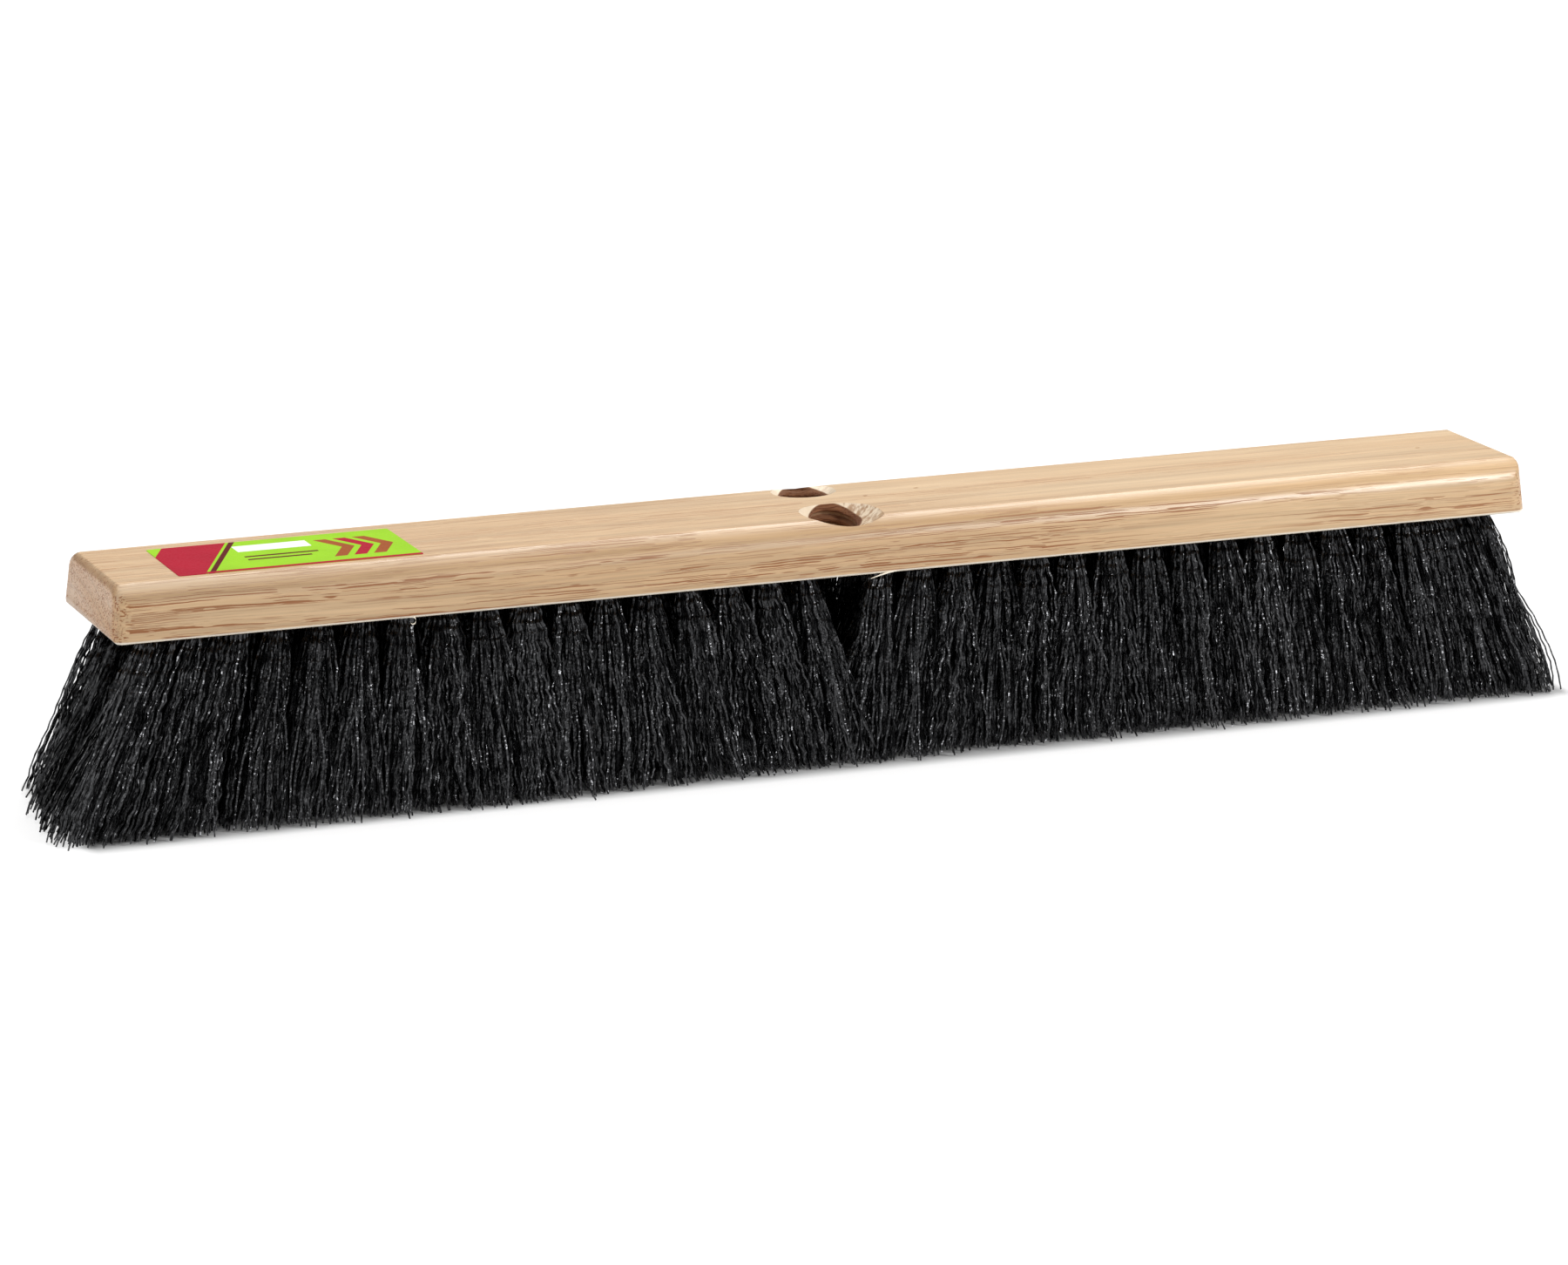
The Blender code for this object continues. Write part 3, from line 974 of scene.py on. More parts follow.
    def pricks(self) -> bpy.types.Object:
        """Builds the cutter for the small open pores in the top.

        Returns:
            The cutter.
        """
        bm = bmesh.new()
        narrow, wide = self.pit_radii
        for x, y in self.pits:
            place = Matrix.Translation((x, y, self.top)) @ Matrix.Diagonal((self.pit_stretch, 1.0, 1.0, 1.0))
            bmesh.ops.create_cone(
                bm, cap_ends=True, segments=self.pit_sides, radius1=narrow, radius2=wide,
                depth=2 * self.pit_depth, matrix=place,
            )
        return new_object("pore_pricks", mesh_of("pore_pricks", bm))

    def build(self, holes: list[Point]) -> bpy.types.Object:
        """Builds the whole block.

        Args:
            holes: the tuft holes' places along and across the block.

        Returns:
            The finished object.
        """
        thing = new_object("wood_block", self.shell())
        tools = [socket.cutter(self.top) for socket in self.sockets] + [self.drill(holes), self.pricks()]
        for tool in tools:
            cut = thing.modifiers.new(tool.name, "BOOLEAN")
            cut.operation = "DIFFERENCE"
            cut.solver = "EXACT"
            cut.object = tool
        settled(thing)
        for tool in tools:
            bpy.data.objects.remove(tool, do_unlink=True)
        thing.data.shade_smooth()
        thing.data.set_sharp_from_angle(angle=self.sharp_angle)
        self.mark_crease(thing.data)
        return thing

    def mark_crease(self, mesh: bpy.types.Mesh) -> None:
        """Keeps the crisp lines where the rounded edges and the sockets meet the flat of the top.

        Args:
            mesh: the block's mesh.
        """
        line = self.width / 2 - self.round_width
        sharp = mesh.attributes["sharp_edge"].data
        flats = Counter()
        for face in mesh.polygons:
            if face.normal.z > self.level_normal and face.center.z > self.top - self.level_slack:
                flats.update(mesh.loops[spot].edge_index for spot in face.loop_indices)
        for edge, count in flats.items():
            spots = [mesh.vertices[spot].co for spot in mesh.edges[edge].vertices]
            on_line = all(abs(abs(spot.y) - line) < self.crease_slack for spot in spots)
            if on_line or (count == 1 and abs(spots[0].x) < self.socket_zone):
                sharp[edge].value = True


@dataclass
class Splinters:
    """Two thin splinters that stand off the block's lower front edge, one straight and one curled."""

    front: float
    underside: float
    section: tuple[Point, ...] = ((-0.5, -0.2), (0.5, -0.3), (0.4, 0.3), (-0.5, 0.25))
    slant: float = 0.25
    taper: float = 0.7
    straight_width: float = 1.5 * MM
    straight_root: Triple = (20 * MM, 0.6 * MM, 0.7 * MM)
    straight_run: Point = (12 * MM, 1.2 * MM)
    straight_drop: float = 2.2 * MM
    straight_bow: float = 1.3
    straight_steps: int = 8
    curl_width: float = 1.4 * MM
    curl_root: Triple = (-189 * MM, 0.7 * MM, 0.5 * MM)
    curl_middle: Point = (-184.5 * MM, -1.1 * MM)
    curl_radius: float = 1.8 * MM
    curl_tighten: float = 0.05
    curl_lead: float = 0.1 * MM
    curl_turn: float = math.radians(25.0)
    curl_steps: int = 10

    def at(self, x: float, y: float, up: float) -> Vector:
        """Returns a place given from the front face and the underside."""
        return Vector((x, self.front + y, self.underside + up))

    def straight(self) -> list[Vector]:
        """Returns the straight splinter's spine, from its root to its tip."""
        x, y, up = self.straight_root
        along, out = self.straight_run
        shares = [step / self.straight_steps for step in range(self.straight_steps + 1)]
        return [
            self.at(x - along * share, y - out * share, up - self.straight_drop * share ** self.straight_bow)
            for share in shares
        ]

    def curl(self) -> list[Vector]:
        """Returns the curled splinter's spine, from its root to its tip."""
        x, up = self.curl_middle
        spine = [self.at(*self.curl_root)]
        for step in range(self.curl_steps + 1):
            turn = self.curl_turn * step
            reach = self.curl_radius * (1.0 - self.curl_tighten * step)
            spine.append(self.at(
                x + reach * math.sin(turn), -self.curl_lead * step, up + reach * math.cos(turn),
            ))
        return spine

    def sliver(self, bm: bmesh.types.BMesh, spine: list[Vector], width: float) -> None:
        """Adds one thin splinter that tapers along its spine.

        Args:
            bm: where it goes.
            spine: points from its root to its tip.
            width: its width at the root.
        """
        rings = []
        for step, spot in enumerate(spine):
            size = width * (1.0 - self.taper * step / (len(spine) - 1))
            corners = [spot + Vector((self.slant * y, y, z)) * size for y, z in self.section]
            rings.append([bm.verts.new(corner) for corner in corners])
        skin_rings(bm, rings)
        bm.faces.new(rings[0])
        bm.faces.new(rings[-1])

    def build(self) -> bpy.types.Object:
        """Builds both splinters as one piece.

        Returns:
            The finished object.
        """
        bm = bmesh.new()
        self.sliver(bm, self.straight(), self.straight_width)
        self.sliver(bm, self.curl(), self.curl_width)
        thing = new_object("edge_slivers", mesh_of("edge_slivers", bm))
        thing.data.shade_smooth()
        return thing


# Bristles


@dataclass
class TuftField:
    """Where the tufts stand: staggered rows that leave the wood under the sockets whole."""

    rows: int = 5
    row_pitch: float = 13.55 * MM
    tuft_pitch: float = 16.8 * MM
    row_limit: float = 289.8 * MM
    socket_reach: float = 13.75 * MM
    end_spread: Point = (28.5 * MM, 19.0 * MM)
    left_skew: float = 6.0 * MM
    end_power: int = 4
    side_spread: float = 12.5 * MM
    front_bow: float = 6.0 * MM
    bow_middle: float = -155 * MM
    bow_reach: float = 100 * MM
    close_reach: float = 110 * MM
    gap_left: float = 0.5

    def row_y(self, row: int) -> float:
        """Returns a row's place across the block, from the front."""
        return (row - (self.rows - 1) / 2) * self.row_pitch

    def tufts(self, row: int, sockets: list[Socket]) -> list[float]:
        """Lists the tufts' places along one row.

        Args:
            row: the row, from the front.
            sockets: the handle sockets that the tufts stay clear of.

        Returns:
            Places along the block.
        """
        shift = 0.5 if row % 2 else 0.0
        count = math.floor(self.row_limit / self.tuft_pitch - shift)
        steps = sorted({sign * (step + shift) for step in range(count + 1) for sign in (-1, 1)})
        y = self.row_y(row)
        places = [step * self.tuft_pitch for step in steps]
        return [x for x in places if all(math.hypot(x - s.x, y - s.y) >= self.socket_reach for s in sockets)]

    def lean(self, x: float, y: float) -> float:
        """Tells how far the outermost tufts lean to the front or the back.

        Args:
            x: the tuft's place along the block.
            y: the tuft's place across it.

        Returns:
            The distance at the trim plane, more where the front row bows out.
        """
        bow = max(0.0, 1.0 - ((x - self.bow_middle) / self.bow_reach) ** 2)
        return self.side_spread + (self.front_bow * bow if y < 0 else 0.0)

    def tip(self, x: float, y: float, gap: tuple[float, float], last: float) -> Point:
        """Tells where the middle of a tuft ends.

        Args:
            x: the tuft's place along the block.
            y: the tuft's place across it.
            gap: the tufts on either side of the row's middle.
            last: how far the row's last tuft stands from the block's middle.

        Returns:
            The place of the tuft's middle at the trim plane.
        """
        low, high = gap
        bare = (high - low - self.gap_left * self.tuft_pitch) / 2
        from_gap = low - x if x <= low else x - high
        lean_in = bare * max(0.0, 1.0 - from_gap / self.close_reach)
        outer = self.row_y(self.rows - 1)
        spread = self.end_spread[1] if x > 0 else self.end_spread[0] - self.left_skew * y / outer
        fan_out = math.copysign((spread + self.row_limit - last) * abs(x / last) ** self.end_power, x)
        return x + fan_out + (lean_in if x <= low else -lean_in), y * (1.0 + self.lean(x, y) / outer)


class PointWiring(Wiring):
    """Adds the nodes of a Geometry Nodes tree that draw, store and read values."""

    def __init__(self, tree: bpy.types.NodeTree) -> None:
        """Keeps the tree and its inputs."""
        super().__init__(tree)
        self.given = self.add("NodeGroupInput").outputs

    def chance(self, draw: int, low: float = 0.0, high: float = 1.0) -> bpy.types.NodeSocket:
        """Draws a random number for each filament or for each point along one.

        Args:
            draw: a number that tells this draw from the others.
            low: the least that it gives.
            high: the most that it gives.

        Returns:
            The random number.
        """
        seed = self.math("ADD", self.given["Seed"], float(draw))
        inputs = {2: low, 3: high, "Seed": seed}
        return self.add("FunctionNodeRandomValue", inputs, data_type="FLOAT").outputs[1]

    def keep(self, geometry: Any, name: str, value: Any, kind: str = "FLOAT") -> bpy.types.NodeSocket:
        """Stores a value on the points.

        Args:
            geometry: the points.
            name: the value's name.
            value: what is stored.
            kind: its type.

        Returns:
            The points with the value.
        """
        named = {"Geometry": geometry, "Name": name}
        node = self.add("GeometryNodeStoreNamedAttribute", named, data_type=kind)
        self.feed(node.inputs["Value"], value)
        return node.outputs["Geometry"]

    def kept(self, name: str, kind: str = "FLOAT") -> bpy.types.NodeSocket:
        """Returns a stored value."""
        node = self.add("GeometryNodeInputNamedAttribute", {"Name": name}, data_type=kind)
        return node.outputs["Attribute"]


@dataclass
class Bristles:
    """Crimped filaments that fan out of their holes in tufts and end at the trim plane."""

    underside: float
    layout: TuftField = field(default_factory=TuftField)
    filament: float = 0.82 * MM
    outer: tuple[int, int] = (70, 24)
    inner: tuple[int, int] = (70, 16)
    root_radius: float = 4.1 * MM
    fan: Point = (15.0 * MM, 9.0 * MM)
    end_fan: Point = (9.0 * MM, 13.0 * MM)
    flare: float = 1.25
    crimp: float = 0.52 * MM
    crimp_range: Point = (0.45, 1.5)
    crimp_start: float = 9.0
    ripples: float = 21.0
    ripple_slip: float = 0.6
    trim_scatter: float = 1.5 * MM
    scatter_power: float = 2.0
    stray: float = 3.0 * MM
    stray_power: float = 1.5
    rare_power: float = 16.0
    rare_stray: float = 1.4
    bend: float = 2.2 * MM
    sway: float = 7 * MM
    sway_grain: Triple = (46.0, 46.0, 30.0)
    swing: float = math.pi / 4
    tuft_swing: float = 0.3
    filament_swing: float = 0.35
    loose_range: Point = (0.1, 0.7)
    size_range: Point = (0.88, 1.12)
    tip_wander: float = 2 * MM
    disc_scatter: float = 0.04
    turn_scatter: float = 0.5
    twist_scatter: float = 0.5
    second_tuft: float = 0.42
    second_reach: float = 1.5
    seated: float = 2.0 * MM
    clear: float = 0.4 * MM
    section_sides: int = 3
    outer_gloss: float = 0.70
    # The inner rows' lower gloss is painted shade.
    shaded_inner_gloss: float = 0.32
    seed: int = 11
    row_seeds: int = 1000
    half_seeds: int = 100

    def tree(self) -> bpy.types.NodeTree:
        """Builds the Geometry Nodes tree that grows the filaments of every tuft in a row.

        Returns:
            The tree.
        """
        inputs = {
            "Tufts": "Geometry", "Filaments": "Int", "Segments": "Int", "Filament Diameter": "Float",
            "Root Radius": "Float", "Flare": "Float", "Crimp Depth": "Float", "Trim Scatter": "Float",
            "Stray": "Float", "Bend": "Float", "Ripples": "Float", "Seed": "Int", "Finish": "Material",
        }
        tree = new_group("bristle_row", "GeometryNodeTree", inputs, {"Bristles": "Geometry"})
        w = PointWiring(tree)
        grown = self.plant(w)
        grown = self.lines(w, grown)
        grown = self.shape(w, grown)
        grown = self.skin(w, grown)
        w.add("NodeGroupOutput", {"Bristles": grown})
        return tree

    def plant(self, w: PointWiring) -> bpy.types.NodeSocket:
        """Puts a point for each filament on each tuft and draws what is its own.

        Args:
            w: the wiring of the tree.

        Returns:
            The points, with their place in the tuft and the ways in which they differ.
        """
        given = w.given
        spots = w.add("GeometryNodeMeshToPoints", {"Mesh": given["Tufts"]}).outputs["Points"]
        copied = {"Geometry": spots, "Amount": given["Filaments"]}
        copies = w.add("GeometryNodeDuplicateElements", copied, domain="POINT").outputs
        share = w.math("DIVIDE", w.math("ADD", copies["Duplicate Index"], 0.5), given["Filaments"])
        scatter = w.chance(1, -self.disc_scatter, self.disc_scatter)
        out = w.math("SQRT", w.math("ADD", share, scatter, clamp=True))
        golden = w.math("MULTIPLY", copies["Duplicate Index"], GOLDEN_ANGLE)
        turn = w.math("ADD", golden, w.kept("turn"))
        turn = w.math("ADD", turn, w.chance(2, -self.turn_scatter, self.turn_scatter))
        disc = w.join(
            X=w.math("MULTIPLY", out, w.math("COSINE", turn)),
            Y=w.math("MULTIPLY", out, w.math("SINE", turn)),
        )
        grown = w.keep(copies["Geometry"], "disc", disc, VECTOR)
        grown = w.keep(grown, "root", w.add("GeometryNodeInputPosition").outputs[0], VECTOR)
        swing = w.math("ADD", w.kept("swing"), w.chance(3, -self.filament_swing, self.filament_swing))
        crimp_way = w.join(X=w.math("COSINE", swing), Y=w.math("SINE", swing))
        grown = w.keep(grown, "crimp_way", crimp_way, VECTOR)
        rare = w.math("MULTIPLY_ADD", w.math("POWER", w.chance(4), self.rare_power), self.rare_stray, 1.0)
        stray = w.join(X=w.chance(5, -1.0, 1.0), Y=w.chance(6, -1.0, 1.0))
        stray = w.vector("SCALE", stray, w.math("MULTIPLY", rare, given["Stray"]))
        grown = w.keep(grown, "stray", stray, VECTOR)
        cut = w.math("MULTIPLY", w.math("POWER", w.chance(7), self.scatter_power), given["Trim Scatter"])
        grown = w.keep(grown, "cut", cut)
        grown = w.keep(grown, "slip", w.math("MULTIPLY", w.chance(8, -1.0, 1.0), w.kept("loose")))
        grown = w.keep(grown, "shade", w.chance(9))
        grown = w.keep(grown, "twist", w.chance(10, 0.0, math.tau))
        bend = w.join(X=w.chance(13, -1.0, 1.0), Y=w.chance(14, -1.0, 1.0))
        return w.keep(grown, "bend", w.vector("SCALE", bend, given["Bend"]), VECTOR)

    def lines(self, w: PointWiring, grown: bpy.types.NodeSocket) -> bpy.types.NodeSocket:
        """Puts a straight line of points on each filament's point.

        Args:
            w: the wiring of the tree.
            grown: the filaments' points.

        Returns:
            One curve for each filament.
        """
        line = w.add("GeometryNodeCurvePrimitiveLine", {"End": (0.0, 0.0, 1.0)}).outputs["Curve"]
        divided = {"Curve": line, "Count": w.math("ADD", w.given["Segments"], 1.0)}
        line = w.add("GeometryNodeResampleCurve", divided, mode="COUNT").outputs["Curve"]
        placed = {"Points": grown, "Instance": line}
        grown = w.add("GeometryNodeInstanceOnPoints", placed).outputs["Instances"]
        return w.add("GeometryNodeRealizeInstances", {"Geometry": grown}).outputs["Geometry"]

    def shape(self, w: PointWiring, grown: bpy.types.NodeSocket) -> bpy.types.NodeSocket:
        """Lays each curve from its root to its tip, fanned out, swaying and crimped.

        Args:
            w: the wiring of the tree.
            grown: the filaments' curves.

        Returns:
            The curves in place.
        """
        given = w.given
        spline = w.add("GeometryNodeSplineParameter").outputs
        ripple = w.math("MULTIPLY_ADD", spline["Factor"], given["Ripples"], w.kept("turn"))
        ripple = w.math("MULTIPLY_ADD", w.kept("slip"), self.ripple_slip, ripple)
        grown = w.keep(grown, "ripple", ripple)
        hump = w.math("SINE", w.math("MULTIPLY", spline["Factor"], math.pi))
        slip = w.math("DIVIDE", w.math("MULTIPLY", w.kept("slip"), hump), given["Segments"])
        down = w.math("ADD", spline["Factor"], slip)
        left = w.math("SUBTRACT", 1.0, down, clamp=True)
        eased = w.math("SUBTRACT", 1.0, w.math("POWER", left, given["Flare"]))
        root_size = w.join(X=given["Root Radius"], Y=given["Root Radius"])
        widen = w.vector("SUBTRACT", w.kept("fan", VECTOR), root_size)
        breadth = w.vector("ADD", root_size, w.vector("SCALE", widen, eased))
        fall = w.vector("SCALE", w.kept("fall", VECTOR), down)
        lift = w.join(Z=w.math("MULTIPLY", w.kept("cut"), down))
        place = w.vector("ADD", w.vector("ADD", w.kept("root", VECTOR), fall), lift)
        place = w.vector("ADD", place, w.vector("MULTIPLY", w.kept("disc", VECTOR), breadth))
        astray = w.vector("SCALE", w.kept("stray", VECTOR), w.math("POWER", down, self.stray_power))
        sway = w.vector("MULTIPLY", w.offset(place, self.sway_grain, 1.0), (self.sway, self.sway, 0.0))
        sway = w.vector("SCALE", sway, down)
        double_bow = w.math("SINE", w.math("MULTIPLY", down, math.tau))
        astray = w.vector("ADD", astray, w.vector("SCALE", w.kept("bend", VECTOR), double_bow))
        side = w.math("COSINE", w.math("MULTIPLY", spline["Index"], math.pi))
        full = w.math("MULTIPLY", down, self.crimp_start, clamp=True)
        uneven = w.math("MULTIPLY", given["Crimp Depth"], w.chance(12, *self.crimp_range))
        crimp = w.math("MULTIPLY", w.math("MULTIPLY", side, full), uneven)
        wave = w.vector("SCALE", w.kept("crimp_way", VECTOR), crimp)
        place = w.vector("ADD", w.vector("ADD", place, astray), w.vector("ADD", sway, wave))
        return w.add("GeometryNodeSetPosition", {"Geometry": grown, "Position": place}).outputs["Geometry"]

    def skin(self, w: PointWiring, grown: bpy.types.NodeSocket) -> bpy.types.NodeSocket:
        """Turns the curves into closed flat-sided filaments with their finish.

        Args:
            w: the wiring of the tree.
            grown: the curves.

        Returns:
            The filaments' mesh.
        """
        scatter = w.chance(11, -self.twist_scatter, self.twist_scatter)
        twisted = {"Curve": grown, "Tilt": w.math("ADD", w.kept("twist"), scatter)}
        grown = w.add("GeometryNodeSetCurveTilt", twisted).outputs["Curve"]
        radius = w.math("MULTIPLY", w.given["Filament Diameter"], 0.5)
        rim = {"Resolution": self.section_sides, "Radius": radius}
        section = w.add("GeometryNodeCurvePrimitiveCircle", rim).outputs["Curve"]
        tube = {"Curve": grown, "Profile Curve": section, "Fill Caps": True}
        grown = w.add("GeometryNodeCurveToMesh", tube).outputs["Mesh"]
        facets = {"Geometry": grown, "Shade Smooth": False}
        grown = w.add("GeometryNodeSetShadeSmooth", facets).outputs["Geometry"]
        grown = w.add("GeometryNodeRealizeInstances", {"Geometry": grown}).outputs["Geometry"]
        dressed = {"Geometry": grown, "Material": w.given["Finish"]}
        return w.add("GeometryNodeSetMaterial", dressed).outputs["Geometry"]

    def seeds(self, name: str, row: int, tufts: list[float], gap: tuple[float, float]) -> bpy.types.Mesh:
        """Makes the points that a half row grows from.

        Args:
            name: the mesh's name.
            row: the row, from the front.
            tufts: the tufts' places along the row.
            gap: the tufts on either side of the row's middle.

        Returns:
            A mesh of one point to a tuft, with its fall, fan, turn, swing and looseness.
        """
        y = self.layout.row_y(row)
        draw = random.Random(f"{self.seed} {name}")
        last = max(abs(x) for x in tufts)
        near_end = last - self.second_reach * self.layout.tuft_pitch
        step_in = self.second_tuft * self.layout.tuft_pitch
        tufts = tufts + [x - math.copysign(step_in, x) for x in tufts if abs(x) > near_end]
        mesh = bpy.data.meshes.new(name)
        mesh.from_pydata([(x, y, self.underside + self.seated) for x in tufts], [], [])
        kinds = {"fall": VECTOR, "fan": VECTOR, "turn": "FLOAT", "swing": "FLOAT", "loose": "FLOAT"}
        for label, kind in kinds.items():
            mesh.attributes.new(label, kind, "POINT")
        fall, fan, turn, swing, loose = (mesh.attributes[label].data for label in kinds)
        for spot, x in enumerate(tufts):
            tip = self.layout.tip(x, y, gap, last)
            size = draw.uniform(*self.size_range)
            outward = abs(x / last) ** self.layout.end_power
            wide, deep = (mid + (end - mid) * outward for mid, end in zip(self.fan, self.end_fan))
            wander = draw.uniform(-self.tip_wander, self.tip_wander)
            fall[spot].vector = (tip[0] - x + wander, tip[1] - y, self.clear - self.underside - self.seated)
            fan[spot].vector = (wide * size, deep * size, 0.0)
            turn[spot].value = draw.uniform(0.0, math.tau)
            swing[spot].value = self.swing + draw.uniform(-self.tuft_swing, self.tuft_swing)
            loose[spot].value = draw.uniform(*self.loose_range)
        return mesh

    def grow(
        self, name: str, seeds: bpy.types.Mesh, tree: bpy.types.NodeTree, make: tuple[int, int], seed: int,
        finish: bpy.types.Material,
    ) -> bpy.types.Object:
        """Grows one half row and turns it into a plain mesh.

        Args:
            name: the piece's name.
            seeds: the tufts.
            tree: the Geometry Nodes tree.
            make: filaments to a tuft and segments to a filament.
            seed: the seed for everything random.
            finish: the filaments' material.

        Returns:
            The finished object.
        """
        thing = new_object(name, seeds)
        values = {
            "Filaments": make[0], "Segments": make[1], "Filament Diameter": self.filament,
            "Root Radius": self.root_radius, "Flare": self.flare, "Crimp Depth": self.crimp,
            "Trim Scatter": self.trim_scatter, "Stray": self.stray, "Bend": self.bend,
            "Ripples": self.ripples, "Seed": seed, "Finish": finish,
        }
        modifier = thing.modifiers.new("grow", "NODES")
        modifier.node_group = tree
        for item in tree.interface.items_tree:
            if item.name in values:
                modifier[item.identifier] = values[item.name]
        return settled(thing)

    def build(self, sockets: list[Socket]) -> list[tuple[bpy.types.Object, str]]:
        """Grows every half row.

        Args:
            sockets: the handle sockets that the tufts stay clear of.

        Returns:
            Each finished object with the CAD node that it stands for.
        """
        tree = self.tree()
        # The inner rows get a duller copy of the black plastic: painted shade, standing in for the shadow
        # under the block between the front and back rows.
        shiny = BristleFinish("black_filament", self.outer_gloss).material()
        shaded_finish = BristleFinish("black_filament_shaded_inside", self.shaded_inner_gloss).material()
        made = []
        for row in range(self.layout.rows):
            tufts = self.layout.tufts(row, sockets)
            halves = {Half.LEFT: [x for x in tufts if x < 0], Half.RIGHT: [x for x in tufts if x >= 0]}
            gap = (halves[Half.LEFT][-1], halves[Half.RIGHT][0])
            outside = row in (0, self.layout.rows - 1)
            make, finish = (self.outer, shiny) if outside else (self.inner, shaded_finish)
            for order, (half, places) in enumerate(halves.items()):
                name = f"bristles_row_{row + 1}_{half.value}"
                seeds = self.seeds(name, row, places, gap)
                seed = self.seed + self.row_seeds * row + self.half_seeds * order
                thing = self.grow(name, seeds, tree, make, seed, finish)
                made.append((thing, f"bristle_row_{row + 1}_{half.value}"))
        return made


# Label


@dataclass
class Label:
    """The printed sheet on the flat of the top, near the left end."""

    left: float = -274.3 * MM
    front: float = -26.1 * MM
    length: float = 99.0 * MM
    width: float = 48.0 * MM
    thickness: float = 0.2 * MM
    corner: float = 1.2 * MM
    corner_steps: int = 5
    sharp_angle: float = math.radians(40.0)

    @property
    def centre(self) -> Point:
        """The middle of the sheet along and across the block."""
        return self.left + self.length / 2, self.front + self.width / 2

    def build(self, top: float) -> bpy.types.Object:
        """Builds the sheet on the block's top.

        Args:
            top: the height of the block's top plane.

        Returns:
            The finished object.
        """
        bm = bmesh.new()
        middle = (*self.centre, top + self.thickness / 2)
        size = Matrix.Diagonal((self.length, self.width, self.thickness, 1.0))
        bmesh.ops.create_cube(bm, size=1.0, matrix=Matrix.Translation(middle) @ size)
        rises = {edge: abs(edge.verts[0].co.z - edge.verts[1].co.z) for edge in bm.edges}
        upright = [edge for edge, rise in rises.items() if rise > self.thickness / 2]
        bmesh.ops.bevel(
            bm, geom=upright, offset=self.corner, segments=self.corner_steps, profile=0.5, affect="EDGES",
        )
        thing = new_object("printed_label", mesh_of("printed_label", bm))
        thing.data.shade_smooth()
        thing.data.set_sharp_from_angle(angle=self.sharp_angle)
        return thing


# Studio


@dataclass(frozen=True)
class Lamp:
    """One soft box."""

    name: str
    place: Triple
    size: Point
    power: float


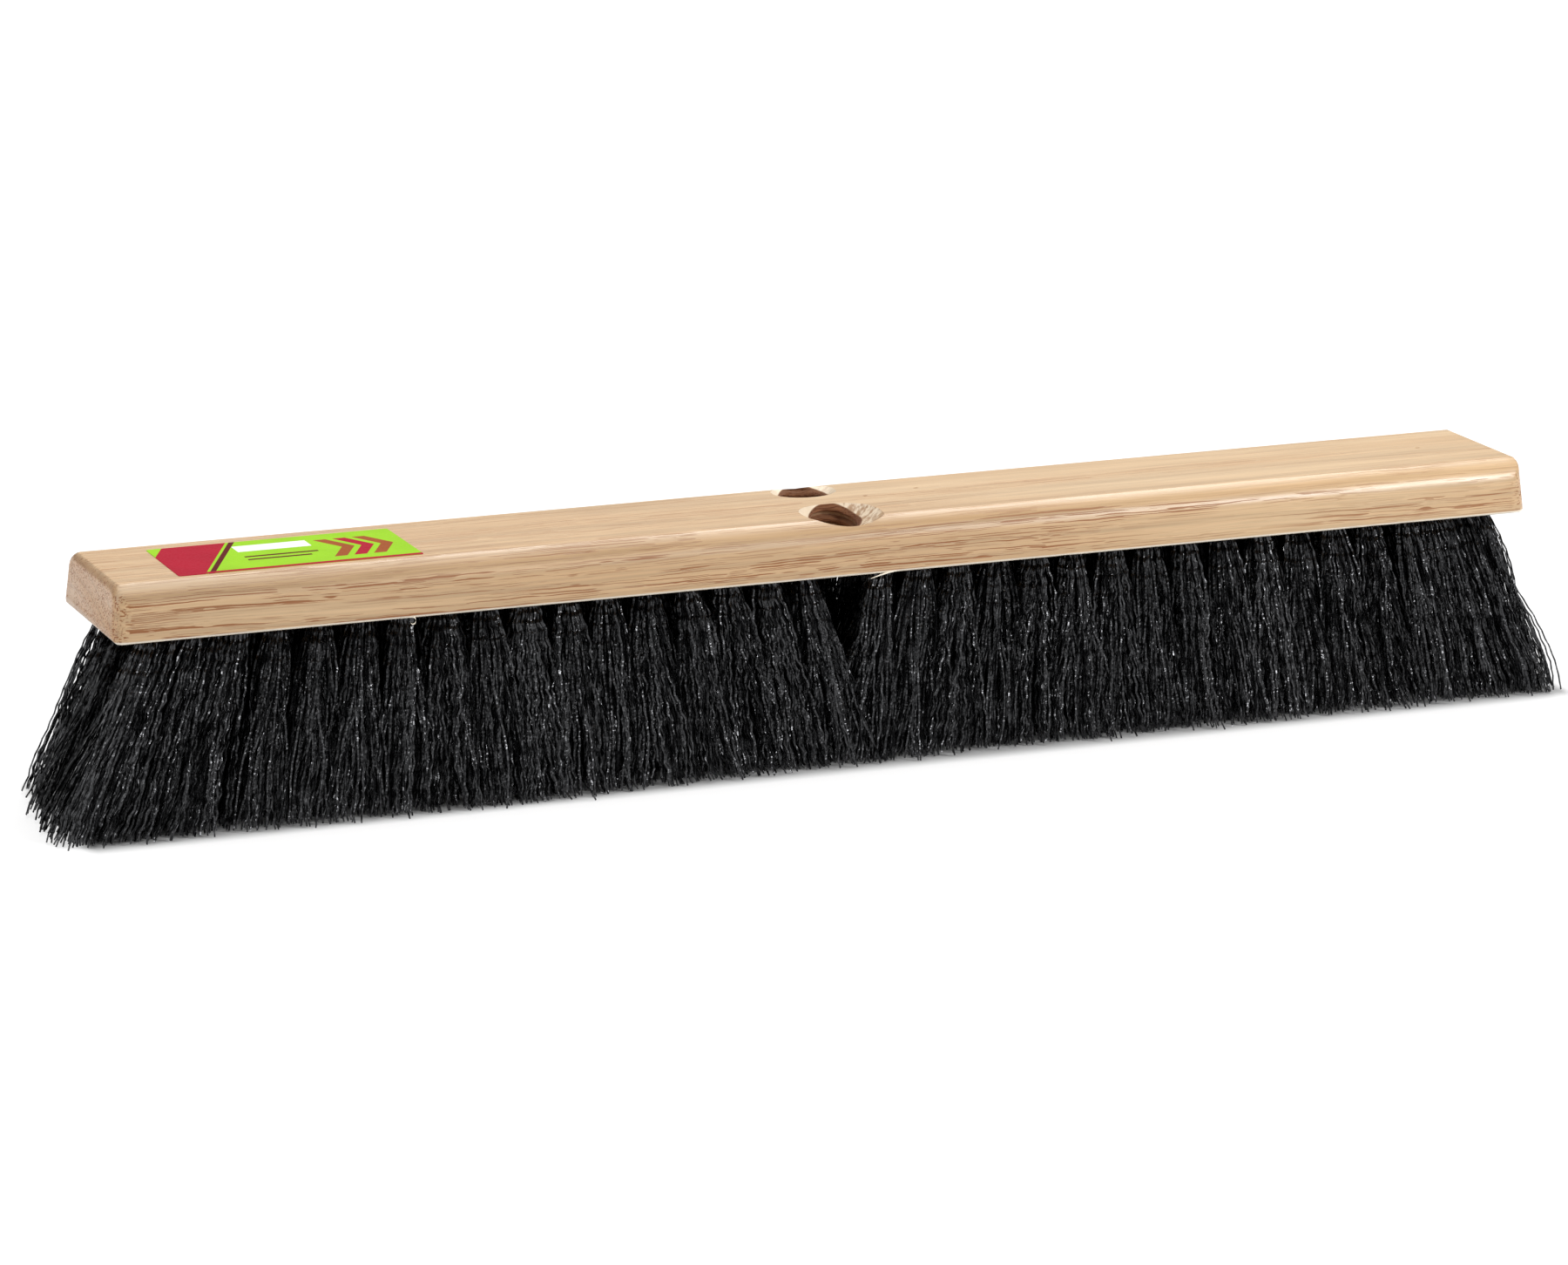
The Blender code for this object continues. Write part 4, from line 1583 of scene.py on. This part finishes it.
@dataclass
class Studio:
    """A white floor, soft boxes and the camera at the photograph's angle."""

    target: Triple
    azimuth: float = math.radians(-21.466)
    elevation: float = math.radians(13.168)
    roll: float = math.radians(-0.239)
    distance: float = 2480.1 * MM
    sensor: float = 36.0
    photo_width: float = 1800.0
    focal_pixels: float = 7013.8
    shift_pixels: Point = (-37.67, -87.41)
    far_clip: float = 100.0
    floor_size: float = 16.0
    sky_light: float = 0.30
    floor_colour: float = 0.50
    floor_roughness: float = 0.9
    near_glow: float = 0.54
    far_glow: float = 0.38
    footprint: Point = (316 * MM, 46 * MM)
    glow_reach: float = 14 * MM
    glow_squash: float = 2.0
    far_reach: Point = (0.3, 1.5)
    lamps: tuple[Lamp, ...] = (
        Lamp("key", (1.1, -1.3, 1.0), (0.42, 0.56), 17.0),
        Lamp("front", (0.9, -1.7, 0.75), (1.2, 0.7), 6.6),
        Lamp("overhead", (-0.3, 0.3, 1.9), (3.4, 2.0), 38.0),
        Lamp("rim", (0.7, 1.1, 1.4), (1.0, 0.4), 7.0),
        Lamp("fill", (-1.7, -0.2, 0.6), (0.9, 0.9), 5.0),
    )

    def aim(self, thing: bpy.types.Object, place: Vector) -> None:
        """Puts a lamp at a place, facing the object."""
        thing.location = place
        thing.rotation_euler = (Vector(self.target) - place).to_track_quat("-Z", "Y").to_euler()

    def camera(self) -> None:
        """Makes the scene's camera."""
        a, e = self.azimuth, self.elevation
        back = Vector((math.sin(a) * math.cos(e), -math.cos(a) * math.cos(e), math.sin(e)))
        right = Vector((math.cos(a), math.sin(a), 0.0))
        up = back.cross(right)
        level = right * math.cos(self.roll) + up * math.sin(self.roll)
        plumb = up * math.cos(self.roll) - right * math.sin(self.roll)
        data = bpy.data.cameras.new("photo_camera")
        data.sensor_width = self.sensor
        data.lens = self.sensor * self.focal_pixels / self.photo_width
        data.shift_x, data.shift_y = (shift / self.photo_width for shift in self.shift_pixels)
        data.clip_end = self.far_clip
        thing = bpy.data.objects.new("photo_camera", data)
        bpy.context.scene.collection.objects.link(thing)
        turn = Matrix((level, plumb, back)).transposed().to_4x4()
        thing.matrix_world = Matrix.Translation(Vector(self.target) + back * self.distance) @ turn
        bpy.context.scene.camera = thing

    def seen(self, w: Wiring) -> bpy.types.NodeSocket:
        """Returns 1 where a surface is seen straight, in a reflection or through glass, else 0."""
        path = w.add("ShaderNodeLightPath").outputs
        mirrored = w.math("MAXIMUM", path["Is Glossy Ray"], path["Is Transmission Ray"])
        return w.math("MAXIMUM", path["Is Camera Ray"], mirrored)

    def world(self) -> None:
        """Makes the even white surroundings."""
        world = bpy.data.worlds.new("studio")
        world.use_nodes = True
        bpy.context.scene.world = world
        backdrop = world.node_tree.nodes["Background"].inputs
        backdrop["Color"].default_value = rgba(WHITE)
        backdrop["Strength"].default_value = self.sky_light

    def floor(self) -> None:
        """Makes the pale floor, which keeps the object's shadow."""
        bm = bmesh.new()
        bmesh.ops.create_grid(bm, x_segments=1, y_segments=1, size=self.floor_size / 2)
        thing = new_object("studio_floor", mesh_of("studio_floor", bm))
        material, w, shader = new_finish("pale_floor")
        shader.inputs["Base Color"].default_value = rgba((self.floor_colour,) * 3)
        shader.inputs["Roughness"].default_value = self.floor_roughness
        shader.inputs["Specular IOR Level"].default_value = 0.0
        shader.inputs["Emission Color"].default_value = rgba(WHITE)
        place = w.add("ShaderNodeTexCoord").outputs["Object"]
        beyond = w.vector("SUBTRACT", w.vector("ABSOLUTE", place), (*self.footprint, 0.0))
        beyond = w.vector("MAXIMUM", beyond, (0.0, 0.0, 0.0))
        away = w.vector("LENGTH", beyond)
        squashed = w.vector("LENGTH", w.vector("MULTIPLY", beyond, (self.glow_squash, 1.0, 1.0)))
        near = w.ramp(squashed, 0.0, self.glow_reach, 0.0, self.near_glow)
        far = w.ramp(away, *self.far_reach, 0.0, self.far_glow)
        w.feed(shader.inputs["Emission Strength"], w.math("MULTIPLY", self.seen(w), w.math("ADD", near, far)))
        thing.data.materials.append(material)

    def build(self) -> None:
        """Makes the camera, the surroundings, the floor and the lamps."""
        self.camera()
        self.world()
        self.floor()
        for lamp in self.lamps:
            data = bpy.data.lights.new(lamp.name, "AREA")
            data.shape = "RECTANGLE"
            data.size, data.size_y = lamp.size
            data.energy = lamp.power
            thing = bpy.data.objects.new(lamp.name, data)
            bpy.context.scene.collection.objects.link(thing)
            self.aim(thing, Vector(lamp.place))
        bpy.context.scene.view_settings.view_transform = "Standard"


def main() -> None:
    """Builds and dresses the broom head, then the studio round it."""
    logging.basicConfig(level=logging.INFO, format="%(name)s: %(message)s")
    block = Block()
    bristles = Bristles(underside=block.underside)
    label = Label()
    wood = WoodFinish().material(block)

    layout = bristles.layout
    holes = [
        (x, layout.row_y(row)) for row in range(layout.rows) for x in layout.tufts(row, block.sockets)
    ]
    body = block.build(holes)
    body.data.materials.clear()
    body.data.materials.append(wood)
    install(body, ["block"])
    slivers = Splinters(-block.width / 2, block.underside).build()
    slivers.data.materials.append(wood)
    install(slivers, [])

    for thing, node in bristles.build(block.sockets):
        install(thing, [node])

    sheet = label.build(block.top)
    sheet.data.materials.append(LabelFinish(label.centre).material())
    install(sheet, ["label"])

    Studio(target=(0.0, 0.0, block.underside)).build()


if __name__ == "__main__":
    main()
